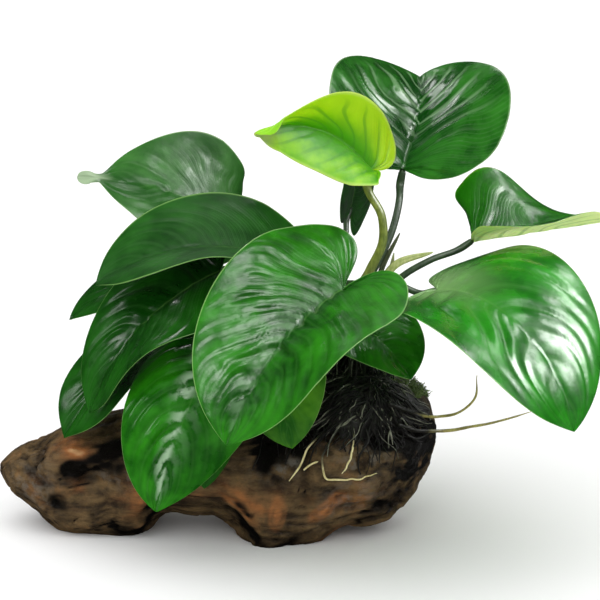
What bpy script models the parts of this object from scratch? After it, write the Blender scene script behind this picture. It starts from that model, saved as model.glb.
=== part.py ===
# Anubias growing on a piece of driftwood: leaves, stalks, a creeping rhizome, roots and moss.
# Lengths are in metres and angles in degrees unless a name says otherwise; +Z is up.
# The tables below give places in millimetres, with X to the right, Y away and Z up from the ground.
# SHIFT then brings the middle of the whole piece over the origin.

import math

import bmesh
import bpy
import numpy as np
from mathutils import Vector
from mathutils.bvhtree import BVHTree

MM = 0.001
SHIFT = (-0.5, 6.6, 0.0)
GAP = 0.4

# Driftwood: one row for each station along the log: x, underside, top, front, back.
# An underside below zero is cut off flat at the ground, which makes the two feet.
WOOD_STATIONS = (
    (-123, 22, 26, -1, 4),
    (-119, 16.5, 29.5, -6, 10),
    (-110, 9, 34, -12, 18),
    (-101, 0.5, 38.5, -16, 23),
    (-94, -4, 42, -18, 25),
    (-78, -4, 46, -20, 27),
    (-64, -4, 48, -22, 27),
    (-58, 5, 49, -23, 26),
    (-44, 8, 50, -25, 25),
    (-32, 7, 51, -26, 25),
    (-25, 0.5, 53, -27, 25),
    (-20, -8, 55, -28, 25),
    (0, -8, 62, -30, 26),
    (7, -5, 65, -31, 27),
    (14, 1.5, 68, -31, 27),
    (28, 4, 70, -29, 26),
    (38, 8, 63.5, -25, 23),
    (46, 17, 55.5, -19, 17),
    (52, 28, 50, -10, 10),
    (55, 36, 44, -4, 4),
)
WOOD_RINGS = 27
WOOD_SIDES = 26
WOOD_SQUARENESS = 2.5

# Knots and hollows of the log: x, angle round it, half length, half angle, height.
WOOD_LUMPS = (
    (-96, 40, 12, 34, 2.4),
    (-84, 5, 9, 26, -3.6),
    (-70, 62, 12, 30, 1.8),
    (-58, 8, 16, 24, 1.6),
    (-44, 40, 10, 26, -2.2),
    (-20, 26, 20, 16, -2.0),
    (-10, -8, 18, 22, 1.6),
    (18, 2, 14, 24, 2.2),
    (34, 20, 9, 22, -1.8),
    (46, 95, 7, 34, 1.6),
    (-80, 150, 16, 30, 2.0),
    (-40, 175, 14, 30, -2.4),
    (-5, 165, 16, 26, 2.4),
    (30, 180, 10, 30, -1.6),
)
WOOD_RIDGE_HEIGHT = 0.7
WOOD_RIDGE_COUNT = 7
WOOD_RIDGE_TWIST = 0.035

# Rhizome: x, y, z and radius along the creeping stem, from its old end to its growing tip.
RHIZOME_PATH = (
    (-42, 5, 58, 3.6),
    (-34, 4, 59, 4.4),
    (-18, 2, 61.5, 4.8),
    (0, 0, 68, 4.9),
    (14, -2, 75.5, 4.8),
    (22, -3, 81, 4.4),
    (26, -3, 87, 3.0),
)
RHIZOME_RINGS = 21
RHIZOME_SIDES = 8
RHIZOME_NODE_COUNT = 11
RHIZOME_NODE_SWELL = 0.35

# Leaves: base where the stalk joins, tip, and face, the way the upper side looks, as an angle
# round from the front towards +X and an angle above level. Width is across the flat leaf.
# Pairs are for the left and the right half, seen from the upper side with the tip ahead.
# Fold lifts a half at the midrib, curl rolls it down towards its margin, bend arches the midrib,
# sweep bows it sideways, twist turns it along its length, lobe is the length of the basal lobe and
# shoulder its width, wave is the height of a ripple along the margin and phase where it starts, and
# neck narrows the blade behind its drawn-out tip.
LEAF_TABLE = {
    "leaf_front": dict(base=(16, -45, 108), tip=(-26, -80, 59), face=(-32, 24), width=74,
                       fold=(32, 20), curl=(18, 4), bend=40, sweep=14, twist=18, lobe=(1.0, 1.5),
                       wave=(8, -2), phase=(0.31, 0.3)),
    "leaf_front_left": dict(base=(-32, -34, 83), tip=(-54, -52, 24), face=(-5, 18), width=57,
                            fold=(0, -3), curl=(48, 52), bend=66, sweep=4, twist=24),
    "leaf_small_front": dict(base=(-29, -36, 61), tip=(-37, -37, 28), face=(30, 15), width=22,
                             fold=(3, 8), curl=(35, 30), bend=25, sweep=5, twist=6),
    "leaf_left": dict(base=(-31, -14, 109), tip=(-81, -32, 57), face=(-38, 50), width=57,
                      fold=(11, 17), curl=(19, 16), bend=51, sweep=14, twist=-5,
                      lobe=(0.6, 0.6), wave=(6, 0), phase=(0.21, 0)),
    "leaf_far_left": dict(base=(-54, 0, 80), tip=(-93, -20, 43), face=(-46, 37), width=48,
                          fold=(15, 13), curl=(12, 23), bend=42, sweep=3, twist=1,
                          wave=(-4, 2), phase=(0, 0.1)),
    "leaf_left_upper": dict(base=(-11, -3, 112.5), tip=(-79, -19, 104.5), face=(-13, 69), width=59,
                            fold=(20, 23), curl=(24, 3), bend=61, sweep=3, twist=-5,
                            lobe=(0.7, 1.1), wave=(-5, 0), phase=(-0.08, 0)),
    "leaf_top_left": dict(base=(-30, 33, 123.5), tip=(-91, 22.5, 141), face=(0, 63), width=55,
                          fold=(-6, 29), curl=(31, -21), bend=37, sweep=-9, twist=-27,
                          lobe=(0.6, 0.4), shoulder=(1.0, 0.66), wave=(-2, -4), phase=(0.43, -0.05),
                          neck=0.7),
    "leaf_behind_left": dict(base=(-51, 23, 105.5), tip=(-94.5, 12, 83.5), face=(-26, 63), width=39,
                             fold=(11, 7), curl=(28, 28), bend=31, sweep=1, twist=-7),
    "leaf_young": dict(base=(27, -6.5, 147.5), tip=(-17, -33, 164.5), face=(5, 46), width=41,
                       fold=(36, 43), curl=(36, 14), bend=51, sweep=52, twist=76,
                       lobe=(0, 0.5), shoulder=(0.6, 0.8), wave=(3, 2), phase=(0.1, 0)),
    "leaf_top": dict(base=(41.5, 16, 145), tip=(53, 82, 178), face=(9, 41.5), width=88.5,
                     fold=(36, 48), curl=(5, 22), bend=29, sweep=10, twist=15,
                     lobe=(0.9, 0.65), shoulder=(1.0, 0.95), wave=(0, -4)),
    "leaf_right_upper": dict(base=(69, 4, 118.2), tip=(124.4, 15.5, 124), face=(-1, 74.5), width=57,
                             fold=(33, 41.5), curl=(27.5, 16.5), bend=2, sweep=2, twist=4,
                             lobe=(-0.45, 0.3), shoulder=(0.8, 0.9), wave=(10, -2), phase=(0.52, 0.37)),
    "leaf_right": dict(base=(52, -26, 104), tip=(99, -67, 60), face=(22, 32.5), width=78.5,
                       fold=(12, 7.5), curl=(29, -18), bend=98, sweep=-18.5, twist=1,
                       lobe=(1.1, 0.6), shoulder=(1.1, 0.8), wave=(-3, -2.5), phase=(0.05, -0.07)),
    "leaf_right_lower": dict(base=(20, -20, 90), tip=(42, -39, 72), face=(32, 42), width=45,
                             fold=(14, 15), curl=(22, 18), bend=39, sweep=-8, twist=2,
                             lobe=(0.7, 0.7)),
    "leaf_centre_low": dict(base=(-8, -22, 76), tip=(-3, -35, 43.5), face=(-15, 12), width=36,
                            fold=(6, 6), curl=(30, 25), bend=45),
    "leaf_edge_on": dict(base=(21, 26, 128), tip=(24, 34, 166), face=(66, 5), width=44,
                         fold=(14, 0), curl=(6, 5), bend=20, lobe=(1.0, 1.6)),
    "leaf_back_left": dict(base=(-24, 40, 98), tip=(-52, 74, 62), face=(205, 35), width=54,
                           fold=(10, 10), curl=(24, 24), bend=50, sweep=6),
    "leaf_back_right": dict(base=(12, 38, 92), tip=(34, 70, 56), face=(160, 35), width=50,
                            fold=(10, 10), curl=(24, 24), bend=50, sweep=-6),
}
LEAF_DEFAULTS = dict(sweep=0, twist=0, lobe=(1.1, 1.1), shoulder=(1.0, 1.0), wave=(0, 0), phase=(0, 0),
                     neck=0)
LEAF_THICKNESS = 0.8
LEAF_ROWS = (0, 0.07, 0.14, 0.22, 0.32, 0.44, 0.56, 0.68, 0.80, 0.91, 1)
LEAF_COLUMNS = (0, 0.36, 0.70, 1)
LEAF_WAVES = 1.5

# Half of a flat heart-shaped leaf, from the notch round the lobe to the tip:
# how far round the margin, half width and length, both as shares of the leaf's own.
OUTLINE = (
    (0.00, 0.00, 0.000),
    (0.08, 0.26, -0.140),
    (0.20, 0.62, -0.170),
    (0.34, 0.93, 0.000),
    (0.48, 1.00, 0.230),
    (0.62, 0.91, 0.470),
    (0.76, 0.67, 0.710),
    (0.88, 0.36, 0.880),
    (0.95, 0.15, 0.955),
    (1.00, 0.00, 1.000),
)

# Stalks: where each starts along the rhizome (0 old end, 1 tip), the angle round it (0 front,
# 90 up, 180 back), points that it passes, and the radii at its two ends.
STALK_TABLE = {
    "leaf_front": dict(start=0.62, turn=78, via=((3, -5, 92), (9, -22, 105)), radii=(1.7, 1.3)),
    "leaf_front_left": dict(start=0.30, turn=25, via=((-29, -18, 74),), radii=(1.5, 1.1)),
    "leaf_small_front": dict(start=0.22, turn=8, via=(), radii=(1.2, 0.8)),
    "leaf_left": dict(start=0.36, turn=70, via=((-22, -3, 86),), radii=(1.6, 1.2)),
    "leaf_far_left": dict(start=0.12, turn=60, via=((-45, 3, 71),), radii=(1.5, 1.0)),
    "leaf_left_upper": dict(start=0.55, turn=75, via=((-7, 1, 92),), radii=(1.6, 1.2)),
    "leaf_top_left": dict(start=0.47, turn=110, via=((-15, 13, 88), (-25, 26, 104)), radii=(1.6, 1.2)),
    "leaf_behind_left": dict(start=0.19, turn=110, via=((-40, 14, 85),), radii=(1.4, 1.0)),
    "leaf_young": dict(start=0.96, turn=80, via=((27.5, -4, 107), (32.5, -5, 119), (32, -6, 129)),
                       radii=(2.2, 1.5)),
    "leaf_top": dict(start=0.84, turn=125, via=((31, 3, 109), (37, 6, 122), (40, 11, 134)),
                     radii=(1.7, 1.4)),
    "leaf_right_upper": dict(start=0.94, turn=-120, via=((39, -2, 103), (52, -1, 111)),
                             radii=(1.6, 1.2), square=0.15),
    "leaf_right": dict(start=0.87, turn=50, via=((21, -10, 96), (32, -17, 106)), radii=(1.6, 1.2)),
    "leaf_right_lower": dict(start=0.76, turn=0, via=(), radii=(1.2, 0.9)),
    "leaf_centre_low": dict(start=0.43, turn=10, via=(), radii=(1.3, 0.9)),
    "leaf_edge_on": dict(start=0.72, turn=115, via=((15, 12, 100), (19, 22, 118)), radii=(1.4, 1.1),
                         square=0.1),
    "leaf_back_left": dict(start=0.26, turn=160, via=((-26, 24, 78),), radii=(1.5, 1.1)),
    "leaf_back_right": dict(start=0.64, turn=160, via=((7, 24, 82),), radii=(1.5, 1.1)),
}
STALK_RINGS = 10
STALK_SIDES = 6
STALK_SQUARENESS = 0.45
STALK_LEAD = 6

# Sheaths: dry scales about the growing tip, from base to point, with their greatest radius.
SHEATH_TABLE = {
    "sheath_pale": dict(path=((30, 5, 94), (38, 5.5, 107.5), (53.5, 5.5, 113)), radius=2.0),
    "sheath_spike": dict(path=((29, 3, 94), (33, 4, 107), (40, 5, 121)), radius=1.3),
    "sheath_olive": dict(path=((32, 8, 88), (36, 9, 101), (38, 10, 112)), radius=1.4),
}
SHEATH_RINGS = 8
SHEATH_SIDES = 6

# Roots: points that the root follows. It is held off the wood and off what lies on the wood.
ROOT_TABLE = {
    "root_right_high": dict(path=((34, -27, 59), (42, -22, 55), (49, -15, 51), (55.5, -8, 48.5),
                                  (62, -8, 49.5), (69, -7, 54), (71, -6, 65)), radii=(1.0, 0.5)),
    "root_right_low": dict(path=((38, -25, 50), (46, -20, 46.5), (54, -13, 44), (63, -12, 44.5),
                                 (74, -11, 46), (92, -10, 51)), radii=(1.1, 0.5)),
    "root_front_1": dict(path=((17, -29, 56), (7, -30, 46.5), (3.5, -31, 43), (-0.5, -31, 35),
                               (-4, -31, 29.5)), radii=(0.8, 0.55)),
    "root_front_2": dict(path=((20, -29, 57), (12, -32, 46), (9.7, -33, 40), (9.7, -33.5, 33),
                               (15.5, -33, 30.5), (22.5, -32, 31), (29.5, -29.5, 32)),
                         radii=(0.8, 0.5)),
    "root_front_3": dict(path=((24, -29, 59), (22.5, -30, 53.5), (20.5, -32, 46), (18.5, -33.5, 38.5),
                               (15.8, -33, 33)), radii=(0.8, 0.55)),
    "root_front_4": dict(path=((1.5, -32, 34), (4.5, -32.5, 36.5), (7.4, -33, 38)), radii=(0.5, 0.5)),
    "root_front_5": dict(path=((29, -28, 59), (33, -26, 55), (35, -26, 48), (36, -26, 42)),
                         radii=(0.8, 0.5)),
    "root_back": dict(path=((0, 14, 66), (4, 26, 52), (8, 33, 38), (16, 35, 26)), radii=(1.0, 0.6)),
}
ROOT_RINGS = 12
ROOT_SIDES = 5
ROOT_WOBBLE = 0.5
COVER_REACH = 8

# Patches lying on the wood: middle x and angle round it, half length, half angle, thickness.
MAT_PATCH = dict(x=27, turn=47, half_x=24, half_turn=43, thickness=2.6, lumps=1.1)
MOSS_PATCH = dict(x=41, turn=122, half_x=12, half_turn=24, thickness=3.0, lumps=1.0)
PATCH_RINGS = 5
PATCH_SPOKES = 16
PATCH_GAP = 1.2

LEAF_GREEN = (0.035, 0.165, 0.03)
YOUNG_GREEN = (0.22, 0.52, 0.03)
STALK_GREEN = (0.05, 0.10, 0.02)
OLIVE_GREEN = (0.17, 0.22, 0.04)
WOOD_BROWN = (0.10, 0.055, 0.03)
ROOT_PALE = (0.52, 0.46, 0.24)
ROOT_DARK = (0.02, 0.018, 0.014)
MOSS_GREEN = (0.06, 0.10, 0.02)


def unit(v):
    """A vector, or rows of vectors, at length one."""
    v = np.asarray(v, float)
    return v / np.linalg.norm(v, axis=-1, keepdims=True)


def smooth_curve(at, values, x):
    """Values read from a smooth curve that goes through each value at its place."""
    at = np.asarray(at, float)
    values = np.asarray(values, float)
    x = np.asarray(x, float)
    slopes = np.gradient(values, at, axis=0)
    i = np.clip(np.searchsorted(at, x, side="right") - 1, 0, len(at) - 2)
    h = at[i + 1] - at[i]
    u = (x - at[i]) / h
    if values.ndim > 1:
        h = h[..., None]
        u = u[..., None]
    return ((2 * u**3 - 3 * u**2 + 1) * values[i] + (u**3 - 2 * u**2 + u) * h * slopes[i]
            + (3 * u**2 - 2 * u**3) * values[i + 1] + (u**3 - u**2) * h * slopes[i + 1])


def path_points(path, count):
    """Points evenly spaced along a smooth curve through a path's own points."""
    path = np.asarray(path, float)
    steps = np.linalg.norm(np.diff(path[:, :3], axis=0), axis=1)
    at = np.concatenate([[0], np.cumsum(steps)])
    return smooth_curve(at, path, np.linspace(0, at[-1], count))


def new_object(name, bm, colour, roughness, smooth=True):
    """An object of its own, with its own material, from a finished bmesh in millimetres."""
    for vert in bm.verts:
        vert.co = (vert.co + Vector(SHIFT)) * MM
    mesh = bpy.data.meshes.new(name)
    bm.to_mesh(mesh)
    bm.free()
    if smooth:
        mesh.shade_smooth()
        mesh.set_sharp_from_angle(angle=math.radians(50))
    obj = bpy.data.objects.new(name, mesh)
    bpy.context.collection.objects.link(obj)
    material = bpy.data.materials.new(name)
    material.use_nodes = True
    shader = material.node_tree.nodes["Principled BSDF"]
    shader.inputs["Base Color"].default_value = (*colour, 1)
    shader.inputs["Roughness"].default_value = roughness
    shader.inputs["Metallic"].default_value = 0
    obj.data.materials.append(material)
    return obj


def loft(rings):
    """A closed body through rings of points, each end closed by a fan about its middle."""
    bm = bmesh.new()
    rows = [[bm.verts.new(point) for point in ring] for ring in rings]
    for row, following in zip(rows, rows[1:]):
        for i in range(len(row)):
            j = (i + 1) % len(row)
            bm.faces.new((row[i], row[j], following[j], following[i]))
    for row in (rows[0], rows[-1]):
        middle = bm.verts.new(sum((v.co for v in row), Vector()) / len(row))
        for i in range(len(row)):
            bm.faces.new((row[i], row[(i + 1) % len(row)], middle))
    bmesh.ops.recalc_face_normals(bm, faces=bm.faces)
    return bm


def tube_rings(points, radii, sides, flatness=1.0):
    """Rings square to a path, turned along it without twisting."""
    points = np.asarray(points, float)
    radii = np.broadcast_to(radii, len(points))
    ahead = unit(np.gradient(points, axis=0))
    side = unit(np.cross(ahead[0], (0.3, 1, 0.2)))
    angles = np.arange(sides) * 2 * math.pi / sides
    rings = []
    for point, radius, direction in zip(points, radii, ahead):
        side = unit(side - side.dot(direction) * direction)
        up = np.cross(direction, side)
        rings.append([point + radius * (math.cos(a) * side + flatness * math.sin(a) * up)
                      for a in angles])
    return rings


def tree_of(*bodies):
    """A search tree over the faces of several meshes, still in millimetres."""
    verts = []
    faces = []
    for bm in bodies:
        start = len(verts)
        bm.verts.index_update()
        verts += [v.co.copy() for v in bm.verts]
        faces += [[start + v.index for v in face.verts] for face in bm.faces]
    return BVHTree.FromPolygons(verts, faces)


def hold_off(points, radii, wood, covers):
    """Points moved out until a tube of these radii clears the wood and what covers it there."""
    moved = []
    for point, radius in zip(points, radii):
        near, normal, _, _ = wood.find_nearest(Vector(point))
        height = (Vector(point) - near).dot(normal)
        needed = radius + GAP
        side = normal.orthogonal().normalized() * (radius + GAP)
        for offset in (Vector(), side, -side, side.cross(normal), -side.cross(normal)):
            cover, *_ = covers.ray_cast(near + offset + normal * COVER_REACH, -normal, COVER_REACH)
            if cover:
                needed = max(needed, radius + 3 * GAP + (cover - near).dot(normal))
        if height < needed:
            point = near + normal * needed
        moved.append(Vector(point))
    return np.array(moved)


def wood_surface(x, turn):
    """Points of the log's surface at places x along it and angles round it."""
    stations = np.array(WOOD_STATIONS, float)
    under, top, front, back = (smooth_curve(stations[:, 0], stations[:, k], x) for k in range(1, 5))
    angle = np.radians(turn)
    power = 2 / WOOD_SQUARENESS
    across = -np.sign(np.cos(angle)) * np.abs(np.cos(angle)) ** power
    upward = np.sign(np.sin(angle)) * np.abs(np.sin(angle)) ** power
    half_y = (back - front) / 2
    half_z = (top - under) / 2
    swell = np.zeros(np.broadcast(x, turn).shape)
    for lump_x, lump_turn, half_x, half_turn, height in WOOD_LUMPS:
        away = (turn - lump_turn + 180) % 360 - 180
        swell += height * np.exp(-((x - lump_x) / half_x) ** 2 - (away / half_turn) ** 2)
    swell += WOOD_RIDGE_HEIGHT * np.sin(WOOD_RIDGE_COUNT * angle + WOOD_RIDGE_TWIST * x
                                        + 1.4 * np.sin(0.05 * x))
    fade = np.clip(np.minimum(half_y, half_z) / 12, 0, 1)
    y = (front + back) / 2 + (half_y + swell * fade) * across
    z = (under + top) / 2 + (half_z + swell * fade) * upward
    return np.stack([x + 0 * turn, y, np.maximum(z, 0)], -1)


def driftwood():
    """The log: rings closer together towards its ends, and flat feet at the ground."""
    first, last = WOOD_STATIONS[0][0], WOOD_STATIONS[-1][0]
    share = (1 - np.cos(np.linspace(0, math.pi, WOOD_RINGS))) / 2
    share = 0.45 * share + 0.55 * np.linspace(0, 1, WOOD_RINGS)
    turns = np.arange(WOOD_SIDES) * 360 / WOOD_SIDES
    rings = [wood_surface(np.full(WOOD_SIDES, x), turns) for x in first + (last - first) * share]
    return loft(rings)


def rhizome_axis(share):
    """Places and radii along the rhizome."""
    rows = path_points(RHIZOME_PATH, 101)
    at = np.linspace(0, 1, 101)
    return np.stack([np.interp(share, at, rows[:, k]) for k in range(4)], -1)


def rhizome():
    """The creeping stem, swollen a little at each leaf scar, with rounded ends."""
    share = np.linspace(0, 1, RHIZOME_RINGS)
    rows = rhizome_axis(share)
    swell = RHIZOME_NODE_SWELL * np.cos(2 * math.pi * RHIZOME_NODE_COUNT * share)
    ends = np.clip(np.minimum(share, 1 - share) * 16 + 0.45, 0, 1) ** 0.5
    return loft(tube_rings(rows[:, :3], (rows[:, 3] + swell - RHIZOME_NODE_SWELL) * ends, RHIZOME_SIDES))


def face_direction(spec):
    """The way that a leaf's upper side looks."""
    turn, height = (math.radians(a) for a in spec["face"])
    return np.array((math.sin(turn) * math.cos(height), -math.cos(turn) * math.cos(height),
                     math.sin(height)))


def leaf_frame(spec):
    """Unit vectors from base to tip, out of the upper side, and to the right."""
    ahead = unit(np.subtract(spec["tip"], spec["base"]))
    face = face_direction(spec)
    upper = unit(face - face.dot(ahead) * ahead)
    return ahead, upper, np.cross(ahead, upper)


def leaf_surface(spec, t, v, half):
    """Points of a leaf's middle surface. t runs round the margin from the notch to the tip and v
    from the midrib to the margin; half 0 is the left one and 1 the right one. The flat heart shape
    is folded and curled across, rippled at the margin, twisted, bowed sideways and arched."""
    ahead, upper, right = leaf_frame(spec)
    chord = np.linalg.norm(np.subtract(spec["tip"], spec["base"]))
    outline = np.array(OUTLINE)
    shoulder = 1 - (1 - spec["shoulder"][half]) * (1 - np.clip(t / 0.45, 0, 1))
    edge_x = np.maximum(smooth_curve(outline[:, 0], outline[:, 1], t), 0) * shoulder
    edge_x = edge_x * (1 - spec["neck"] * np.exp(-((t - 0.9) / 0.07) ** 2))
    edge_y = smooth_curve(outline[:, 0], outline[:, 2], t)
    edge_y = np.where(edge_y < 0, edge_y * spec["lobe"][half], edge_y)
    rib = np.clip((t - 0.22) / 0.78, 0, 1) ** 1.25
    across = edge_x * v
    along = rib + (edge_y - rib) * v**1.4
    # Across the leaf the slope falls evenly from the fold at the midrib by the curl at the margin.
    fold = math.radians(spec["fold"][half])
    curl = math.radians(spec["curl"][half])
    steps = np.linspace(0, 1, 24)[:, None, None]
    slope = fold - curl * steps * across
    side = (-1, 1)[half]
    half_width = spec["width"] / 2
    lateral = np.cos(slope).mean(0) * across * half_width * side
    lift = np.sin(slope).mean(0) * across * half_width
    ripple = np.sin(2 * math.pi * (LEAF_WAVES * t + spec["phase"][half]))
    lift = lift + spec["wave"][half] * ripple * v**2 * np.sqrt(np.sin(math.pi * np.clip(t, 0, 1)))
    twist = math.radians(spec["twist"]) * along
    lateral, lift = (lateral * np.cos(twist) - lift * np.sin(twist),
                     lateral * np.sin(twist) + lift * np.cos(twist))
    # Sideways the midrib is an arc that turns by the sweep.
    sweep = math.radians(spec["sweep"]) or 1e-6
    turn = sweep * (along - 0.5)
    bow = (np.cos(turn) - math.cos(sweep / 2)) / sweep
    reach = (np.sin(turn) + math.sin(sweep / 2)) / sweep
    # Lengthwise it arches: its slope grows evenly to the bend at the tip.
    table = np.linspace(-0.6, 1.4, 401)
    pitch = math.radians(spec["bend"]) * np.clip(table, 0, None)
    step = table[1] - table[0]
    forward = np.cumsum(np.cos(pitch)) * step
    downward = -np.cumsum(np.sin(pitch)) * step
    forward -= np.interp(0, table, forward)
    downward -= np.interp(0, table, downward)
    end = 2 * math.sin(sweep / 2) / sweep
    tip_forward = np.interp(end, table, forward)
    tip_down = np.interp(end, table, downward)
    length = chord / math.hypot(tip_forward, tip_down)
    lean = math.atan2(tip_down, tip_forward)
    start = ahead * math.cos(lean) - upper * math.sin(lean)
    normal = upper * math.cos(lean) + ahead * math.sin(lean)
    sideways = bow * length + lateral * np.cos(turn)
    place = reach + lateral * np.sin(turn) / length
    slant = np.interp(place, table, pitch)
    ahead_by = np.interp(place, table, forward) * length + lift * np.sin(slant)
    above_by = np.interp(place, table, downward) * length + lift * np.cos(slant)
    return (np.array(spec["base"], float) + ahead_by[..., None] * start
            + above_by[..., None] * normal + sideways[..., None] * right)


def leaf_blade(name, spec, colour):
    """One leaf: its middle surface, given its thickness by a Solidify modifier."""
    t, v = np.meshgrid(LEAF_ROWS, LEAF_COLUMNS, indexing="ij")
    bm = bmesh.new()
    base = bm.verts.new(spec["base"])
    tip = bm.verts.new(spec["tip"])
    midrib = {}
    for half in (0, 1):
        points = leaf_surface(spec, t, v, half)
        grid = []
        for i, share in enumerate(LEAF_ROWS):
            row = []
            for j in range(len(LEAF_COLUMNS)):
                if share == 1:
                    row.append(tip)
                elif share == 0 or (j == 0 and share <= 0.22):
                    row.append(base)
                elif j == 0:
                    if i not in midrib:
                        midrib[i] = bm.verts.new(points[i, j])
                    row.append(midrib[i])
                else:
                    row.append(bm.verts.new(points[i, j]))
            grid.append(row)
        for i in range(len(LEAF_ROWS) - 1):
            for j in range(len(LEAF_COLUMNS) - 1):
                corners = [grid[i][j], grid[i][j + 1], grid[i + 1][j + 1], grid[i + 1][j]]
                corners = list(dict.fromkeys(corners if half else reversed(corners)))
                if len(corners) > 2:
                    bm.faces.new(corners)
    obj = new_object(name, bm, colour, 0.3)
    wall = obj.modifiers.new("thickness", "SOLIDIFY")
    wall.thickness = LEAF_THICKNESS * MM
    wall.offset = 0
    return obj


def stalk(name, spec, stalk_spec, colour):
    """A leaf's stalk: square out of the rhizome, through its own points, then up to the notch on
    the leaf's underside."""
    share = stalk_spec["start"]
    before, here, after = rhizome_axis(np.array((share - 0.02, share, min(share + 0.02, 1))))
    axis = unit(after[:3] - before[:3])
    level = unit(np.cross(axis, (0, 0, 1)))
    upright = np.cross(level, axis)
    turn = math.radians(stalk_spec["turn"])
    out = level * math.cos(turn) + upright * math.sin(turn)
    start = here[:3] + out * (here[3] + GAP)
    via = [np.array(point, float) for point in stalk_spec["via"]]
    _, upper, _ = leaf_frame(spec)
    last = via[-1] if via else start
    straight = unit(np.array(spec["base"], float) - last)
    square = stalk_spec.get("square", STALK_SQUARENESS)
    approach = unit(square * upper + (1 - square) * straight)
    radii = stalk_spec["radii"]
    cap_reach = radii[1] * math.sqrt(1 - min(1, approach.dot(upper) ** 2))
    end = np.array(spec["base"], float) - upper * (LEAF_THICKNESS / 2 + 2 * GAP + cap_reach)
    route = [start, start + out * 2.5, *via, end - approach * STALK_LEAD, end]
    points = path_points(route, STALK_RINGS)
    s = np.linspace(0, 1, STALK_RINGS)
    width = radii[0] + (radii[1] - radii[0]) * s**0.6
    return new_object(name, loft(tube_rings(points, width, STALK_SIDES)), colour, 0.35)


def sheath(name, spec, colour):
    """A dry scale: a flattened spindle that ends in a point."""
    points = path_points(spec["path"], SHEATH_RINGS)
    s = np.linspace(0, 1, SHEATH_RINGS)
    width = spec["radius"] * (0.55 + 1.2 * s) * (1 - s) ** 0.7 + 0.15
    return new_object(name, loft(tube_rings(points, width, SHEATH_SIDES, 0.6)), colour, 0.5)


def root(name, spec, wood, covers, colour):
    """A root along its path, slightly wavy, held off what it grows over."""
    points = path_points(spec["path"], ROOT_RINGS)
    s = np.linspace(0, 1, ROOT_RINGS)
    radii = spec["radii"][0] + (spec["radii"][1] - spec["radii"][0]) * s
    points[:, 0] += ROOT_WOBBLE * np.sin(9 * s + len(name))
    points = hold_off(points, radii, wood, covers)
    return new_object(name, loft(tube_rings(points, radii, ROOT_SIDES)), colour, 0.6)


def patch(spec, tree):
    """A lumpy pad lying on the wood: an oval of the log's surface lifted off it, thickest in the
    middle, over the same oval just clear of the wood."""
    ring = (np.arange(1, PATCH_RINGS + 1) / PATCH_RINGS)[:, None]
    spoke = (np.arange(PATCH_SPOKES) * 2 * math.pi / PATCH_SPOKES)[None, :]
    x = spec["x"] + spec["half_x"] * ring * np.cos(spoke)
    turn = spec["turn"] + spec["half_turn"] * ring * np.sin(spoke)
    flat = np.vstack([wood_surface(np.array([[spec["x"]]]), np.array([[spec["turn"]]])).reshape(-1, 3),
                      wood_surface(x, turn).reshape(-1, 3)])
    away = np.concatenate([[0], (ring + 0 * spoke).ravel()])
    lump = np.concatenate([[0], (np.sin(5 * spoke + 4 * ring) * np.sin(9 * ring + 2)).ravel()])
    height = (spec["thickness"] + spec["lumps"] * lump) * (1 - away**3) + 0.7
    bm = bmesh.new()
    layers = []
    for lift in (np.zeros_like(height), height):
        layer = []
        for point, rise in zip(flat, lift):
            near, normal, _, _ = tree.find_nearest(Vector(point))
            layer.append(bm.verts.new(near + normal * (PATCH_GAP + rise)))
        layers.append(layer)
    for layer in layers:
        for i in range(PATCH_SPOKES):
            j = (i + 1) % PATCH_SPOKES
            bm.faces.new((layer[0], layer[1 + i], layer[1 + j]))
            for k in range(PATCH_RINGS - 1):
                low, high = 1 + k * PATCH_SPOKES, 1 + (k + 1) * PATCH_SPOKES
                bm.faces.new((layer[low + i], layer[high + i], layer[high + j], layer[low + j]))
    last = 1 + (PATCH_RINGS - 1) * PATCH_SPOKES
    for i in range(PATCH_SPOKES):
        j = (i + 1) % PATCH_SPOKES
        bm.faces.new((layers[0][last + i], layers[1][last + i], layers[1][last + j],
                      layers[0][last + j]))
    bmesh.ops.recalc_face_normals(bm, faces=bm.faces)
    return bm


def build():
    for obj in list(bpy.data.objects):
        bpy.data.objects.remove(obj)

    wood = driftwood()
    wood_tree = tree_of(wood)
    mat = patch(MAT_PATCH, wood_tree)
    moss = patch(MOSS_PATCH, wood_tree)
    cover_tree = tree_of(mat, moss)

    new_object("rhizome", rhizome(), OLIVE_GREEN, 0.5)
    for name, table in LEAF_TABLE.items():
        spec = {**LEAF_DEFAULTS, **table}
        young = name == "leaf_young"
        leaf_blade(name, spec, YOUNG_GREEN if young else LEAF_GREEN)
        stalk(name.replace("leaf", "stalk"), spec, STALK_TABLE[name],
              OLIVE_GREEN if young else STALK_GREEN)
    for name, spec in SHEATH_TABLE.items():
        sheath(name, spec, OLIVE_GREEN)
    for name, spec in ROOT_TABLE.items():
        root(name, spec, wood_tree, cover_tree, ROOT_PALE)
    new_object("root_mat", mat, ROOT_DARK, 0.8)
    new_object("moss", moss, MOSS_GREEN, 0.9)
    new_object("driftwood", wood, WOOD_BROWN, 0.4)


build()
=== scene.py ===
import math
from functools import partialmethod
from types import SimpleNamespace

import bpy
import numpy as np
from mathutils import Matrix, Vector
from mathutils.bvhtree import BVHTree


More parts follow.
